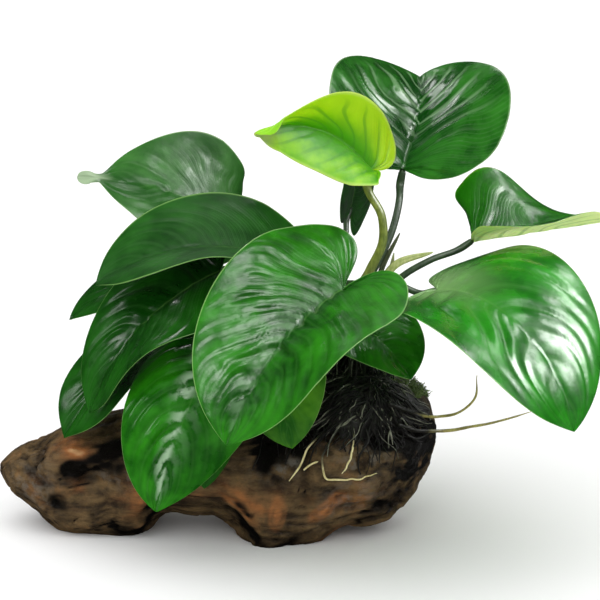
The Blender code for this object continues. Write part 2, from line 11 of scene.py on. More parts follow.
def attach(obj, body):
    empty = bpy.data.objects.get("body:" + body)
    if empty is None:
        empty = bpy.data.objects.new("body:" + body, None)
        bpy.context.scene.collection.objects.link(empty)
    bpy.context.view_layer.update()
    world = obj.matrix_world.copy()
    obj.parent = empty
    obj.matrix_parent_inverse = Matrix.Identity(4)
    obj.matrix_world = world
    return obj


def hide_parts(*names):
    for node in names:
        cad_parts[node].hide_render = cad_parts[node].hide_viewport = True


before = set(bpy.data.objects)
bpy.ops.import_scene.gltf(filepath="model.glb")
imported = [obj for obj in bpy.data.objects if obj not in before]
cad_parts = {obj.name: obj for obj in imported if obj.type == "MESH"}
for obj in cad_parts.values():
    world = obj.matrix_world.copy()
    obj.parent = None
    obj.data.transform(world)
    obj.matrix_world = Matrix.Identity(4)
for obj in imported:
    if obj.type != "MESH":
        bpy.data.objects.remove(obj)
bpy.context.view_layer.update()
print("frame loaded:", len(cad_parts), "solids")

mm = 0.001
shift = np.array((-0.5, 6.6, 0.0))  # brings the middle of the piece over the origin, as in the solids


# Numbers: curves, noise and directions, all on whole arrays

def unit(v):
    v = np.asarray(v, float)
    return v / np.maximum(np.linalg.norm(v, axis=-1, keepdims=True), 1e-12)


# Arrays and numbers of matching shapes, side by side in the last axis of one array
def together(*parts):
    return np.stack(np.broadcast_arrays(*parts), -1)


# The way that lies round from the front by turn and up by height, both in degrees
def direction(turn, height):
    turn, height = math.radians(turn), math.radians(height)
    return np.array((math.sin(turn) * math.cos(height), -math.cos(turn) * math.cos(height), math.sin(height)))


# From 0 at low to 1 at high, along a cubic that is level at both ends
def smoothStep(low, high, x):
    u = np.clip((x - low) / (high - low), 0, 1)
    return u * u * (3 - 2 * u)


# A cubic through each value at its place, whose slope there is that of its neighbours
def smoothCurve(at, values, x):
    at, values, x = (np.asarray(a, float) for a in (at, values, x))
    slopes = np.gradient(values, at, axis=0)
    i = np.clip(np.searchsorted(at, x, side="right") - 1, 0, len(at) - 2)
    h = at[i + 1] - at[i]
    u = (x - at[i]) / h
    if values.ndim > 1:
        h, u = h[..., None], u[..., None]
    return ((2 * u**3 - 3 * u**2 + 1) * values[i] + (u**3 - 2 * u**2 + u) * h * slopes[i]
            + (3 * u**2 - 2 * u**3) * values[i + 1] + (u**3 - u**2) * h * slopes[i + 1])


# Places at even steps along a path; numbers after x, y and z are carried along with them
def pathPoints(path, count):
    path = np.asarray(path, float)
    at = np.concatenate([[0], np.cumsum(np.linalg.norm(np.diff(path[:, :3], axis=0), axis=1))])
    return smoothCurve(at, path, np.linspace(0, at[-1], count))


# A number from -1 to 1 for each lattice point, mixed from its three whole numbers
def latticeValue(ix, iy, iz, seed):
    n = (ix * 73856093) ^ (iy * 19349663) ^ (iz * 83492791) ^ (seed * 26544357)
    n = (n ^ (n >> 13)) * 1274126177
    n = (n ^ (n >> 16)) & 0xFFFFFF
    return n / 0x7FFFFF - 1


# Smooth noise: lattice values blended across each cell by a quintic
def noise(p, seed=0):
    p = np.asarray(p, float)
    cell = np.floor(p).astype(np.int64)
    u = p - cell
    u = u**3 * (u * (u * 6 - 15) + 10)
    total = 0
    for corner in np.ndindex(2, 2, 2):
        x, y, z = (np.abs(1 - corner[k] - u[..., k]) for k in range(3))
        total = total + x * y * z * latticeValue(*(cell[..., k] + corner[k] for k in range(3)), seed)
    return total


# Noise at several sizes, each half as large and half as strong as the one before
def layeredNoise(p, layers=3, seed=0):
    p = np.asarray(p, float)
    return sum(noise(p * 2.03**k, seed + k) / 2**k for k in range(layers))


# Meshes

def newObject(name, data):
    made = bpy.data.objects.new(name, data)
    bpy.context.scene.collection.objects.link(made)
    return made


def faceList(faces):
    return [face for part in faces for face in part.tolist()]


# faces is a list of whole-number arrays, each of triangles or of four-cornered faces; values holds, by
# name, a number for each vertex; node is the solid that the piece takes the place of
def makePiece(name, points, faces, material, values, node=None, leafMap=None):
    mesh = bpy.data.meshes.new(name)
    mesh.from_pydata(((points + shift) * mm).tolist(), [], faceList(faces), shade_flat=False)
    if leafMap is not None:
        mesh.uv_layers.new(name="leafMap").uv.foreach_set("vector", leafMap.astype(np.float32).ravel())
    for valueName, numbers in values.items():
        attribute = mesh.attributes.new(valueName, "FLOAT", "POINT")
        attribute.data.foreach_set("value", np.asarray(numbers, np.float32))
    mesh.materials.append(material)
    piece = newObject(name, mesh)
    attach(piece, "root")
    if node:
        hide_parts(node)
    return piece


# Faces between rings of points, and fans that close the first and the last ring about the two points
# after them. Rings that turn the other way are flipped
def closedFaces(rings, sides, flipped=False):
    k, i = np.meshgrid(np.arange(rings - 1), np.arange(sides), indexing="ij")
    j = (i + 1) % sides
    quads = together(k * sides + i, k * sides + j, (k + 1) * sides + j, (k + 1) * sides + i).reshape(-1, 4)
    i, j = i[0], j[0]
    total = rings * sides
    fans = np.concatenate([together(j, i, total), together(total - sides + i, total - sides + j, total + 1)])
    return [quads[:, (0, 3, 2, 1)], fans[:, (1, 0, 2)]] if flipped else [quads, fans]


# The same for a grid of points, ring by ring, with the middles of its end rings
def closedGrid(grid):
    points = np.concatenate([grid.reshape(-1, 3), grid[[0, -1]].mean(1)])
    return points, closedFaces(*grid.shape[:2], True)


# Tubes: rings square to each path, carried along without twisting. paths is (count, steps, 3), radii
# (count, steps) and ridges, which scales the radii, (steps, sides). Each end is closed by a fan
def tubeMesh(paths, radii, sides, flatness=1.0, ridges=1.0):
    count, steps, _ = paths.shape
    radii = np.broadcast_to(radii, (count, steps))[..., None, None]
    ridges = np.broadcast_to(ridges, (steps, sides))[..., None]
    ahead = unit(np.gradient(paths, axis=1))
    side = unit(np.cross(ahead[:, 0], (0.31, 0.97, 0.2)))
    angles = (np.arange(sides) * 2 * math.pi / sides)[None, :, None]
    rings = np.empty((count, steps, sides, 3))
    for k in range(steps):
        side = unit(side - (side * ahead[:, k]).sum(-1, keepdims=True) * ahead[:, k])
        up = np.cross(ahead[:, k], side)
        circle = np.cos(angles) * side[:, None] + flatness * np.sin(angles) * up[:, None]
        rings[:, k] = paths[:, k, None] + radii[:, k] * ridges[k] * circle
    points = np.concatenate([rings.reshape(count, -1, 3), paths[:, [0, -1]]], 1)
    start = (np.arange(count) * (steps * sides + 2))[:, None, None]
    faces = [(part[None] + start).reshape(-1, part.shape[1]) for part in closedFaces(steps, sides)]
    along = np.concatenate([np.repeat(np.linspace(0, 1, steps), sides), [0, 1]])
    return points.reshape(-1, 3), faces, np.tile(along, count)


# One tube as a piece. With footShare under 1 its along values start later, so that the dark foot colour stays
# off it
def tubePiece(name, path, radius, sides, material, node, flatness=1.0, ridges=1.0, footShare=1.0):
    points, faces, along = tubeMesh(path[None], radius, sides, flatness, ridges)
    makePiece(name, points, faces, material, {"along": 1 - (1 - along) * footShare}, node)


# Shader nodes. A Value stands for one output of a node, and its sums, products and so on are nodes too

def setInput(socket, value):
    if isinstance(value, Value):
        socket.id_data.links.new(value.socket, socket)
    elif socket.type == "RGBA":
        socket.default_value = (*value, 1)
    else:
        socket.default_value = value


def addNode(tree, kind, inputs=None, **settings):
    made = tree.nodes.new(kind)
    for key, value in settings.items():
        setattr(made, key, value)
    for key, value in (inputs or {}).items():
        setInput(made.inputs[key], value)
    return made


class Value:
    def __init__(self, socket):
        self.socket = socket

    def made(self, kind, inputs, output=0, **settings):
        return Value(addNode(self.socket.id_data, kind, inputs, **settings).outputs[output])

    def calc(self, operation, *others):
        return self.made("ShaderNodeMath", dict(enumerate((self, *others))), operation=operation)

    __add__ = partialmethod(calc, "ADD")
    __sub__ = partialmethod(calc, "SUBTRACT")
    __mul__ = partialmethod(calc, "MULTIPLY")

    def __rsub__(self, other):
        return self.made("ShaderNodeMath", {0: other, 1: self}, operation="SUBTRACT")

    def clamped(self):
        self.socket.node.use_clamp = True
        return self

    # From first to last as this value goes from low to high
    def step(self, low, high, first=0.0, last=1.0):
        inputs = {"Value": self, "From Min": low, "From Max": high, "To Min": first, "To Max": last}
        return self.made("ShaderNodeMapRange", inputs, interpolation_type="SMOOTHSTEP")

    # From colour a to colour b as this value goes from 0 to 1
    def mix(self, a, b):
        return self.made("ShaderNodeMix", {0: self, 6: a, 7: b}, 2, data_type="RGBA")

    def noise(self, scale, detail=2.0, rough=0.5):
        inputs = {"Vector": self, "Scale": scale, "Detail": detail, "Roughness": rough}
        return self.made("ShaderNodeTexNoise", inputs)

    def stretched(self, scale):
        return self.made("ShaderNodeVectorMath", {0: self, 1: scale}, operation="MULTIPLY")


def objectPlace(tree):
    return Value(addNode(tree, "ShaderNodeTexCoord").outputs["Object"])


def vertexValue(tree, name):
    return Value(addNode(tree, "ShaderNodeAttribute", attribute_name=name).outputs["Fac"])


# A shader group with an input for each default, which is a colour where it has three numbers
def newGroup(name, defaults):
    tree = bpy.data.node_groups.new(name, "ShaderNodeTree")
    for inputName, default in defaults.items():
        isColour = isinstance(default, tuple)
        kind = "NodeSocketColor" if isColour else "NodeSocketFloat"
        socket = tree.interface.new_socket(inputName, in_out="INPUT", socket_type=kind)
        socket.default_value = (*default, 1) if isColour else default
    inputs = tree.nodes.new("NodeGroupInput").outputs
    return tree, SimpleNamespace(**{inputName: Value(inputs[inputName]) for inputName in defaults})


def endGroup(tree, **results):
    for name in results:
        kind = "NodeSocketColor" if name == "colour" else "NodeSocketFloat"
        tree.interface.new_socket(name, in_out="OUTPUT", socket_type=kind)
    addNode(tree, "NodeGroupOutput", results)
    return tree


def setShader(material, inputs):
    for key, value in inputs.items():
        setInput(material.node_tree.nodes["Principled BSDF"].inputs[key], value)


def plainMaterial(name):
    material = bpy.data.materials.new(name)
    material.use_nodes = True
    return material


def newMaterial(name, group, groupInputs, shaderInputs, bumpDistance):
    material = plainMaterial(name)
    effect = addNode(material.node_tree, "ShaderNodeGroup", groupInputs, node_tree=group)
    shown = {key: Value(socket) for key, socket in effect.outputs.items()}
    normal = shown["height"].made("ShaderNodeBump", {"Height": shown["height"], "Distance": bumpDistance})
    setShader(material, {"Base Color": shown["colour"], "Roughness": shown["roughness"], "Normal": normal,
                         **({"Coat Weight": shown["coat"]} if "coat" in shown else {}), **shaderInputs})
    return material


# Leaf skin. The veinPhase value is a whole number on each side vein; leafMap runs across, with 0.5 at the
# midrib, and along the margin from the notch to the tip

# The tint colour lies on the right half as a tint, about the notch as a painted sheen and beside the midrib
# as a painted highlight
leafSkinDefaults = dict(
    deep=(0.003, 0.062, 0.001), light=(0.02, 0.19, 0.004), vein=(0.07, 0.28, 0.04),
    margin=(0.3, 0.54, 0.17), underside=(0.1, 0.27, 0.06), tint=(0.0, 0.0, 0.0), tip=(0.0, 0.0, 0.0),
    mottle=0.9, gloss=0.28, coat=0.5, midrib=1.0, marginWidth=0.02, veinShare=0.12, veinStart=-0.3,
    ribShade=0.35, rightTint=0.0, baseTint=0.0, ribTint=0.0, tipShare=0.0, leftDull=0.0)


def buildLeafSkin():
    tree, given = newGroup("leafSkin", leafSkinDefaults)
    place = objectPlace(tree)
    uv = Value(addNode(tree, "ShaderNodeUVMap", uv_map="leafMap").outputs["UV"])
    fromLeft = uv.made("ShaderNodeSeparateXYZ", {0: uv})
    along = uv.made("ShaderNodeSeparateXYZ", {0: uv}, 1)
    across = (fromLeft * 2.0 - 1.0).calc("ABSOLUTE")
    phase = vertexValue(tree, "veinPhase")
    under = vertexValue(tree, "underside")
    blotch = place.noise(55.0, 3.0, 0.6)
    speck = place.noise(900.0, 2.0, 0.6)
    # Lines on the side veins and on the finer ones between them
    wave = (phase * (2 * math.pi)).calc("COSINE")
    inner = across.step(0.95, 0.55)
    veinLine = wave.step(0.6, 1.0) * inner
    fineLine = (phase * (10 * math.pi)).calc("COSINE").step(0.2, 1.0) * along.step(0.8, 0.4)
    # Green, with painted shade in the vein furrows and beside the midrib
    tone = blotch.step(0.32, 0.68) * given.mottle + (wave * -0.5 + 0.5) * 0.22 + (speck * 0.3 - 0.15)
    colour = (tone - across.step(0.6, 0.05) * given.ribShade).clamped().mix(given.deep, given.light)
    # A tint on the right half, a painted sheen about the notch, and a painted highlight in broken patches
    # beside the midrib
    rightHalf = fromLeft.step(0.47, 0.56)
    baseSheenMask = (across * along).step(0.24, 0.06) * along.step(0.62, 0.15)
    nearRib = (blotch * 0.5 + (across - 0.25)).step(0.36, 0.04) * along.step(0.12, 0.36)
    nearRib = nearRib * rightHalf.step(0.0, 1.0, 0.15, 1.0)
    nearRib = nearRib * (wave * 0.12 + place.noise(190.0, 3.0, 0.6)).step(0.62, 0.4)
    tint = (rightHalf * across.step(0.05, 0.7) * given.rightTint + baseSheenMask * given.baseTint
            + nearRib * given.ribTint).clamped()
    colour = tint.mix(colour, given.tint)
    # Veins, midrib, margin and tip
    colour = (fineLine * 0.04).mix(colour, given.vein)
    veinShare = (along - given.veinStart).step(0.0, 0.25) * given.veinShare
    colour = (veinLine * veinShare).mix(colour, given.vein)
    ribShare = (1.0 - across.calc("DIVIDE", along * -0.028 + 0.034)).clamped()
    colour = (ribShare * along.step(0.75, 0.2, 0.1, 0.6) * given.midrib).mix(colour, given.margin)
    colour = (across.step(1.0 - given.marginWidth, 1.0) * 0.75).mix(colour, given.margin)
    colour = (along.step(0.84, 0.93) * given.tipShare).mix(colour, given.tip)
    below = (blotch * 0.5).mix((veinLine * 0.45).mix(given.underside, given.margin), given.light)
    # A broken wet film, less on the left half of a dull leaf and below
    dull = (1.0 - rightHalf) * given.leftDull
    film = place.noise(260.0, 2.0, 0.6).step(0.3, 0.6, 0.45, 1.0) * given.coat
    film = film * place.noise(62.0).step(0.4, 0.58, 0.3, 1.15) * (1.0 - dull) * (under * -0.8 + 1.0)
    return endGroup(tree, colour=under.mix(colour, below), coat=film,
                    roughness=(blotch - 0.5) * 0.25 + given.gloss + under * 0.16 + dull * 0.25,
                    height=fineLine * -0.2 * inner + place.noise(420.0, 1.0) * 0.42)


darkVeins = dict(vein=(0.05, 0.2, 0.035), margin=(0.2, 0.4, 0.1), underside=(0.07, 0.2, 0.045))
# Looks for groups of leaves. They differ partly in the leaves' own green and partly as painted light and
# shade: deep is darker for the leaves that lie in shade, and bright lighter for the leaf in the full light at
# the right
leafLooks = {
    "deep": dict(deep=(0.002, 0.036, 0.001), light=(0.01, 0.1, 0.004), mottle=0.8, gloss=0.3, **darkVeins),
    "mid": dict(),
    # Its pale tint about the notch is a painted sheen
    "bright": dict(deep=(0.003, 0.105, 0.001), light=(0.016, 0.29, 0.002), vein=(0.08, 0.34, 0.04),
                   margin=(0.32, 0.58, 0.18), underside=(0.13, 0.34, 0.07), mottle=0.7, gloss=0.27,
                   midrib=0.3, coat=0.8, tint=(0.25, 0.44, 0.16), baseTint=0.8),
    "fresh": dict(deep=(0.01, 0.1, 0.003), light=(0.075, 0.26, 0.01), vein=(0.1, 0.34, 0.04),
                  margin=(0.32, 0.52, 0.16), underside=(0.13, 0.34, 0.07), mottle=1.0, gloss=0.36),
    "soft": dict(deep=(0.01, 0.08, 0.006), light=(0.038, 0.17, 0.022), vein=(0.1, 0.26, 0.07),
                 margin=(0.3, 0.48, 0.2), underside=(0.11, 0.25, 0.08), mottle=0.8, gloss=0.42,
                 midrib=0.5, coat=0.2, tip=(0.34, 0.46, 0.28), tipShare=0.9),
    "broad": dict(deep=(0.002, 0.04, 0.001), light=(0.012, 0.105, 0.005), mottle=0.7, gloss=0.42,
                  midrib=0.4, coat=0.12, leftDull=1.0, marginWidth=0.045, **darkVeins),
    # A painted highlight band beside the midrib, broken by the veins
    "banded": dict(deep=(0.003, 0.07, 0.001), light=(0.022, 0.22, 0.004), margin=(0.26, 0.48, 0.15),
                   gloss=0.3, midrib=0.3, tint=(0.34, 0.5, 0.32), ribTint=0.95),
    # Its pale vein lines in the upper part are partly the veins' own colour and partly a painted highlight
    # along the vein sides
    "top": dict(deep=(0.002, 0.05, 0.002), light=(0.02, 0.165, 0.008), vein=(0.28, 0.48, 0.24),
                margin=(0.2, 0.38, 0.14), mottle=0.8, midrib=0.15, coat=0.3, veinShare=0.42,
                veinStart=0.36, ribShade=0.6),
    # Its near-white underside is partly the underside's own paler green and partly painted light, shining
    # through the leaf from behind
    "lifted": dict(deep=(0.003, 0.074, 0.001), light=(0.022, 0.2, 0.003), margin=(0.12, 0.26, 0.06),
                   underside=(0.8, 0.98, 0.4), mottle=0.8, gloss=0.34),
    "young": dict(deep=(0.07, 0.33, 0.002), light=(0.3, 0.62, 0.004), vein=(0.06, 0.26, 0.01),
                  margin=(0.5, 0.74, 0.16), underside=(0.22, 0.54, 0.03), gloss=0.5, coat=0.03,
                  midrib=0.0, marginWidth=0.09, veinShare=0.5, ribShade=0.9, tint=(0.46, 0.7, 0.006),
                  rightTint=0.75, tip=(0.36, 0.36, 0.17), tipShare=0.7),
    # A whitish painted highlight beside the midrib
    "front": dict(deep=(0.003, 0.058, 0.001), light=(0.022, 0.225, 0.003), mottle=0.7, gloss=0.26,
                  midrib=0.35, coat=0.36, leftDull=0.75, tint=(0.24, 0.42, 0.22), ribTint=0.35),
}
leafShader = {"Coat Roughness": 0.18, "IOR": 1.45, "Specular IOR Level": 0.22}
leafBump = 0.00022
# Light passes through the thin new leaf and through the one that is lifted against the light
leafGlow = {"Subsurface Weight": 0.5, "Subsurface Radius": (1.2, 2.0, 0.3), "Subsurface Scale": 0.0012}
ownShaders = {"bright": {"Coat Roughness": 0.27}, "lifted": leafGlow,
              "young": {"Specular IOR Level": 0.12, **leafGlow}}


def buildLeafMaterials():
    skin = buildLeafSkin()
    return {look: newMaterial("leaf_" + look, skin, values, {**leafShader, **ownShaders.get(look, {})},
                              leafBump) for look, values in leafLooks.items()}


# Leaves and their stalks. base is where the stalk joins; face is the way the upper side looks, round from
# the front and up; pairs are for the left and the right half. The values up to phase are the solid's own;
# neck, tipRound and tipTwist, which make a rolled tip, are only here. veins counts the side veins of a
# half; quilt and wrinkle are heights, as shares of the distance between veins. The stalk has its foot at a
# share of the rhizome and an angle round it, points that it passes, and radii at its two ends
leafTable = {
    "front": dict(
        base=(16, -45, 108), tip=(-26, -80, 59), face=(-32, 24), width=74, fold=(32, 20), curl=(18, 4),
        bend=40, sweep=14, twist=18, lobe=(1, 1.5), wave=(8, -2), phase=(0.31, 0.3),
        look="front", veins=15, quilt=(0.09, 0.055), wrinkle=(0.2, 0.11), dents=0.1,
        foot=(0.62, 78), via=((3, -5, 92), (9, -22, 105)), radii=(1.7, 1.3)),
    "front_left": dict(
        base=(-32, -34, 83), tip=(-54, -52, 24), face=(-5, 18), width=57, fold=(0, -3), curl=(48, 52),
        bend=66, sweep=4, twist=24, look="banded", veins=11, quilt=(0.06, 0.11), wrinkle=(0.06, 0.16),
        lean=0.3, foot=(0.3, 25), via=((-29, -18, 74),), radii=(1.5, 1.1)),
    "small_front": dict(
        base=(-29, -36, 61), tip=(-37, -37, 28), face=(30, 15), width=22, fold=(3, 8), curl=(35, 30),
        bend=25, sweep=5, twist=6, veins=8, quilt=(0.04, 0.04), ripple=0.4, foot=(0.22, 8), radii=(1.2, 0.8)),
    "left": dict(
        base=(-31, -14, 109), tip=(-81, -32, 57), face=(-38, 50), width=57, fold=(11, 17), curl=(19, 16),
        bend=51, sweep=14, twist=-5, lobe=(0.6, 0.6), wave=(6, 0), phase=(0.21, 0), veins=11,
        quilt=(0.09, 0.09), foot=(0.36, 70), via=((-22, -3, 86),), radii=(1.6, 1.2)),
    "far_left": dict(
        base=(-54, 0, 80), tip=(-93, -20, 43), face=(-46, 37), width=48, fold=(15, 13), curl=(12, 23),
        bend=42, sweep=3, twist=1, wave=(-4, 2), phase=(0, 0.1), veins=9, quilt=(0.06, 0.06), ripple=0.6,
        foot=(0.12, 60), via=((-45, 3, 71),), radii=(1.5, 1)),
    "left_upper": dict(
        base=(-11, -3, 112.5), tip=(-79, -19, 104.5), face=(-13, 69), width=59, fold=(20, 23), curl=(24, 3),
        bend=61, sweep=3, twist=-5, lobe=(0.7, 1.1), wave=(-5, 0), phase=(-0.08, 0), look="broad", veins=11,
        quilt=(0.02, 0.02), wrinkle=(0.03, 0.03), dents=0.03,
        foot=(0.55, 75), via=((-7, 1, 92),), radii=(1.6, 1.2)),
    "top_left": dict(
        base=(-30, 33, 123.5), tip=(-91, 22.5, 141), face=(0, 63), width=55, fold=(-6, 29), curl=(31, -21),
        bend=37, sweep=-9, twist=-27, lobe=(0.6, 0.4), shoulder=(1, 0.66), wave=(-2, -4), phase=(0.43, -0.05),
        neck=0.6, tipRound=0.12, tipTwist=55, look="soft", veins=10, quilt=(0.06, 0.03),
        foot=(0.47, 110), via=((-15, 13, 88), (-25, 26, 104)), radii=(1.6, 1.2)),
    "behind_left": dict(
        base=(-51, 23, 105.5), tip=(-94.5, 12, 83.5), face=(-26, 63), width=39, fold=(11, 7), curl=(28, 28),
        bend=31, sweep=1, twist=-7, veins=9, quilt=(0.04, 0.04), ripple=0.5,
        foot=(0.19, 110), via=((-40, 14, 85),), radii=(1.4, 1)),
    "young": dict(
        base=(27, -6.5, 147.5), tip=(-17, -33, 164.5), face=(5, 46), width=41, fold=(36, 43), curl=(36, 14),
        bend=51, sweep=52, twist=76, lobe=(0, 0.5), shoulder=(0.6, 0.8), wave=(3, 2), phase=(0.1, 0),
        tipRound=0.17, tipTwist=40, look="young", veins=9, quilt=(0.05, 0.05), wrinkle=(0.03, 0.03),
        dents=0.02, ripple=0.6, foot=(0.96, 80), via=((27.5, -4, 107), (32.5, -5, 119), (32, -6, 129)),
        radii=(2.2, 1.5)),
    "top": dict(
        base=(41.5, 16, 145), tip=(53, 82, 178), face=(9, 41.5), width=88.5, fold=(36, 48), curl=(5, 22),
        bend=29, sweep=10, twist=15, lobe=(0.9, 0.65), shoulder=(1, 0.95), wave=(0, -4), look="top",
        veins=12, quilt=(0.09, 0.06), wrinkle=(0.17, 0.1), lean=0.14,
        foot=(0.84, 125), via=((31, 3, 109), (37, 6, 122), (40, 11, 134)), radii=(1.7, 1.4)),
    "right_upper": dict(
        base=(69, 4, 118.2), tip=(124.4, 15.5, 124), face=(-1, 74.5), width=57, fold=(33, 41.5),
        curl=(27.5, 16.5), bend=2, sweep=2, twist=4, lobe=(-0.45, 0.3), shoulder=(0.8, 0.9), wave=(10, -2),
        phase=(0.52, 0.37), look="lifted", veins=8, quilt=(0.03, 0.03), wrinkle=(0.02, 0.02), dents=0.03,
        lean=0.3, foot=(0.94, -120), via=((39, -2, 103), (52, -1, 111)), radii=(1.6, 1.2), square=0.15),
    "right": dict(
        base=(52, -26, 104), tip=(99, -67, 60), face=(22, 32.5), width=78.5, fold=(12, 7.5), curl=(29, -18),
        bend=98, sweep=-18.5, twist=1, lobe=(1.1, 0.6), shoulder=(1.1, 0.8), wave=(-3, -2.5),
        phase=(0.05, -0.07), look="bright", veins=9, quilt=(0.08, 0.13), wrinkle=(0.03, 0.03), dents=0.02,
        ripple=0.5, lean=0.38, foot=(0.87, 50), via=((21, -10, 96), (32, -17, 106)), radii=(1.6, 1.2)),
    "right_lower": dict(
        base=(20, -20, 90), tip=(42, -39, 72), face=(32, 42), width=45, fold=(14, 15), curl=(22, 18),
        bend=39, sweep=-8, twist=2, lobe=(0.7, 0.7), look="mid", veins=10, quilt=(0.1, 0.1),
        wrinkle=(0.1, 0.1), foot=(0.76, 0), radii=(1.2, 0.9)),
    "centre_low": dict(
        base=(-8, -22, 76), tip=(-3, -35, 43.5), face=(-15, 12), width=36, fold=(6, 6), curl=(30, 25),
        bend=45, look="fresh", veins=8, quilt=(0.04, 0.04), ripple=0.5, foot=(0.43, 10), radii=(1.3, 0.9)),
    "edge_on": dict(
        base=(21, 26, 128), tip=(24, 34, 166), face=(66, 5), width=44, fold=(14, 0), curl=(6, 5), bend=20,
        lobe=(1, 1.6), veins=10, quilt=(0.05, 0.05), ripple=0.6, foot=(0.72, 115),
        via=((15, 12, 100), (19, 22, 118)), radii=(1.4, 1.1), square=0.1),
    "back_left": dict(
        base=(-24, 40, 98), tip=(-52, 74, 62), face=(205, 35), width=54, fold=(10, 10), curl=(24, 24),
        bend=50, sweep=6, look="mid", veins=10, foot=(0.26, 160), via=((-26, 24, 78),), radii=(1.5, 1.1)),
    "back_right": dict(
        base=(12, 38, 92), tip=(34, 70, 56), face=(160, 35), width=50, fold=(10, 10), curl=(24, 24),
        bend=50, sweep=-6, veins=10, foot=(0.64, 160), via=((7, 24, 82),), radii=(1.5, 1.1)),
}
leafDefaults = dict(
    sweep=0, twist=0, lobe=(1.1, 1.1), shoulder=(1, 1), wave=(0, 0), phase=(0, 0), neck=0, tipRound=0,
    tipTwist=0, look="deep", quilt=(0.08, 0.08), wrinkle=(0.06, 0.06), dents=0.07, ripple=0.8, lean=0.25,
    via=(), square=0.45)
leafOutline = np.array((  # round the margin, half width, length: shares of the leaf's own
    (0, 0, 0), (0.08, 0.26, -0.14), (0.2, 0.62, -0.17), (0.34, 0.93, 0), (0.48, 1, 0.23), (0.62, 0.91, 0.47),
    (0.76, 0.67, 0.71), (0.88, 0.36, 0.88), (0.95, 0.15, 0.955), (1, 0, 1)))
leafMesh = dict(rows=190, columns=32, crowding=1.35, thickness=0.55, fanShare=0.22, midribDepth=0.34,
                midribRadius=0.9, midribWidth=0.7, midribBaseWidth=2.3, waves=1.5, arcSteps=24, archSteps=401)


# A leaf's own directions: from base to tip, off its upper side, and to its right
def leafFrame(leaf):
    ahead = unit(np.subtract(leaf["tip"], leaf["base"]))
    face = direction(*leaf["face"])
    upper = unit(face - face.dot(ahead) * ahead)
    return ahead, upper, np.cross(ahead, upper)


# The outline's half width round the margin, as a share of the leaf's own
def halfWidth(t):
    return np.maximum(smoothCurve(leafOutline[:, 0], leafOutline[:, 1], t), 0)


# The blade's middle surface. t runs round the margin from the notch to the tip and v from the midrib
# to the margin. The flat heart is folded and curled across (its slope falls evenly from the fold by the
# curl), rippled at the margin, twisted, bowed sideways along an arc, and arched by a slope that grows
# evenly from base to tip
def leafSurface(leaf, t, v, half):
    ahead, upper, right = leafFrame(leaf)
    edgeX = halfWidth(t) * (1 - (1 - leaf["shoulder"][half]) * (1 - np.clip(t / 0.45, 0, 1)))
    edgeX = edgeX * (1 - leaf["neck"] * np.exp(-((t - 0.9) / 0.07) ** 2))
    edgeX = np.maximum(edgeX, leaf["tipRound"] * np.sqrt(np.clip(1 - ((t - 0.93) / 0.07) ** 2, 0, 1)))
    edgeY = smoothCurve(leafOutline[:, 0], leafOutline[:, 2], t)
    edgeY = edgeY * (1 + (leaf["lobe"][half] - 1) * smoothStep(0.06, -0.10, edgeY))
    rib = np.clip((t - leafMesh["fanShare"]) / (1 - leafMesh["fanShare"]), 0, 1) ** 1.25
    across = edgeX * v
    along = rib + (edgeY - rib) * v**1.4
    steps = np.linspace(0, 1, leafMesh["arcSteps"])[:, None, None]
    slope = math.radians(leaf["fold"][half]) - math.radians(leaf["curl"][half]) * steps * across
    lateral = np.cos(slope).mean(0) * across * leaf["width"] / 2 * (-1, 1)[half]
    lift = np.sin(slope).mean(0) * across * leaf["width"] / 2
    ripple = np.sin(2 * math.pi * (leafMesh["waves"] * t + leaf["phase"][half]))
    lift = lift + leaf["wave"][half] * ripple * v**2 * np.sqrt(np.sin(math.pi * np.clip(t, 0, 1)))
    twist = np.radians(leaf["twist"] * along + leaf["tipTwist"] * smoothStep(0.84, 0.94, along))
    lateral, lift = (lateral * np.cos(twist) - lift * np.sin(twist),
                     lateral * np.sin(twist) + lift * np.cos(twist))
    sweep = math.radians(leaf["sweep"]) or 1e-6
    turn = sweep * (along - 0.5)
    bow = (np.cos(turn) - math.cos(sweep / 2)) / sweep
    reach = (np.sin(turn) + math.sin(sweep / 2)) / sweep
    table = np.linspace(-0.6, 1.4, leafMesh["archSteps"])
    pitch = math.radians(leaf["bend"]) * np.clip(table, 0, None)
    forward, downward = (np.cumsum(a) * (table[1] - table[0]) for a in (np.cos(pitch), -np.sin(pitch)))
    forward -= np.interp(0, table, forward)
    downward -= np.interp(0, table, downward)
    end = 2 * math.sin(sweep / 2) / sweep
    tipForward, tipDown = np.interp(end, table, forward), np.interp(end, table, downward)
    chord = np.linalg.norm(np.subtract(leaf["tip"], leaf["base"]))
    length = chord / math.hypot(tipForward, tipDown)
    lean = math.atan2(tipDown, tipForward)
    start = ahead * math.cos(lean) - upper * math.sin(lean)
    normal = upper * math.cos(lean) + ahead * math.sin(lean)
    sideways = bow * length + lateral * np.cos(turn)
    place = reach + lateral * np.sin(turn) / length
    slant = np.interp(place, table, pitch)
    aheadBy = np.interp(place, table, forward) * length + lift * np.sin(slant)
    aboveBy = np.interp(place, table, downward) * length + lift * np.cos(slant)
    return (np.array(leaf["base"], float) + aheadBy[..., None] * start
            + aboveBy[..., None] * normal + sideways[..., None] * right)


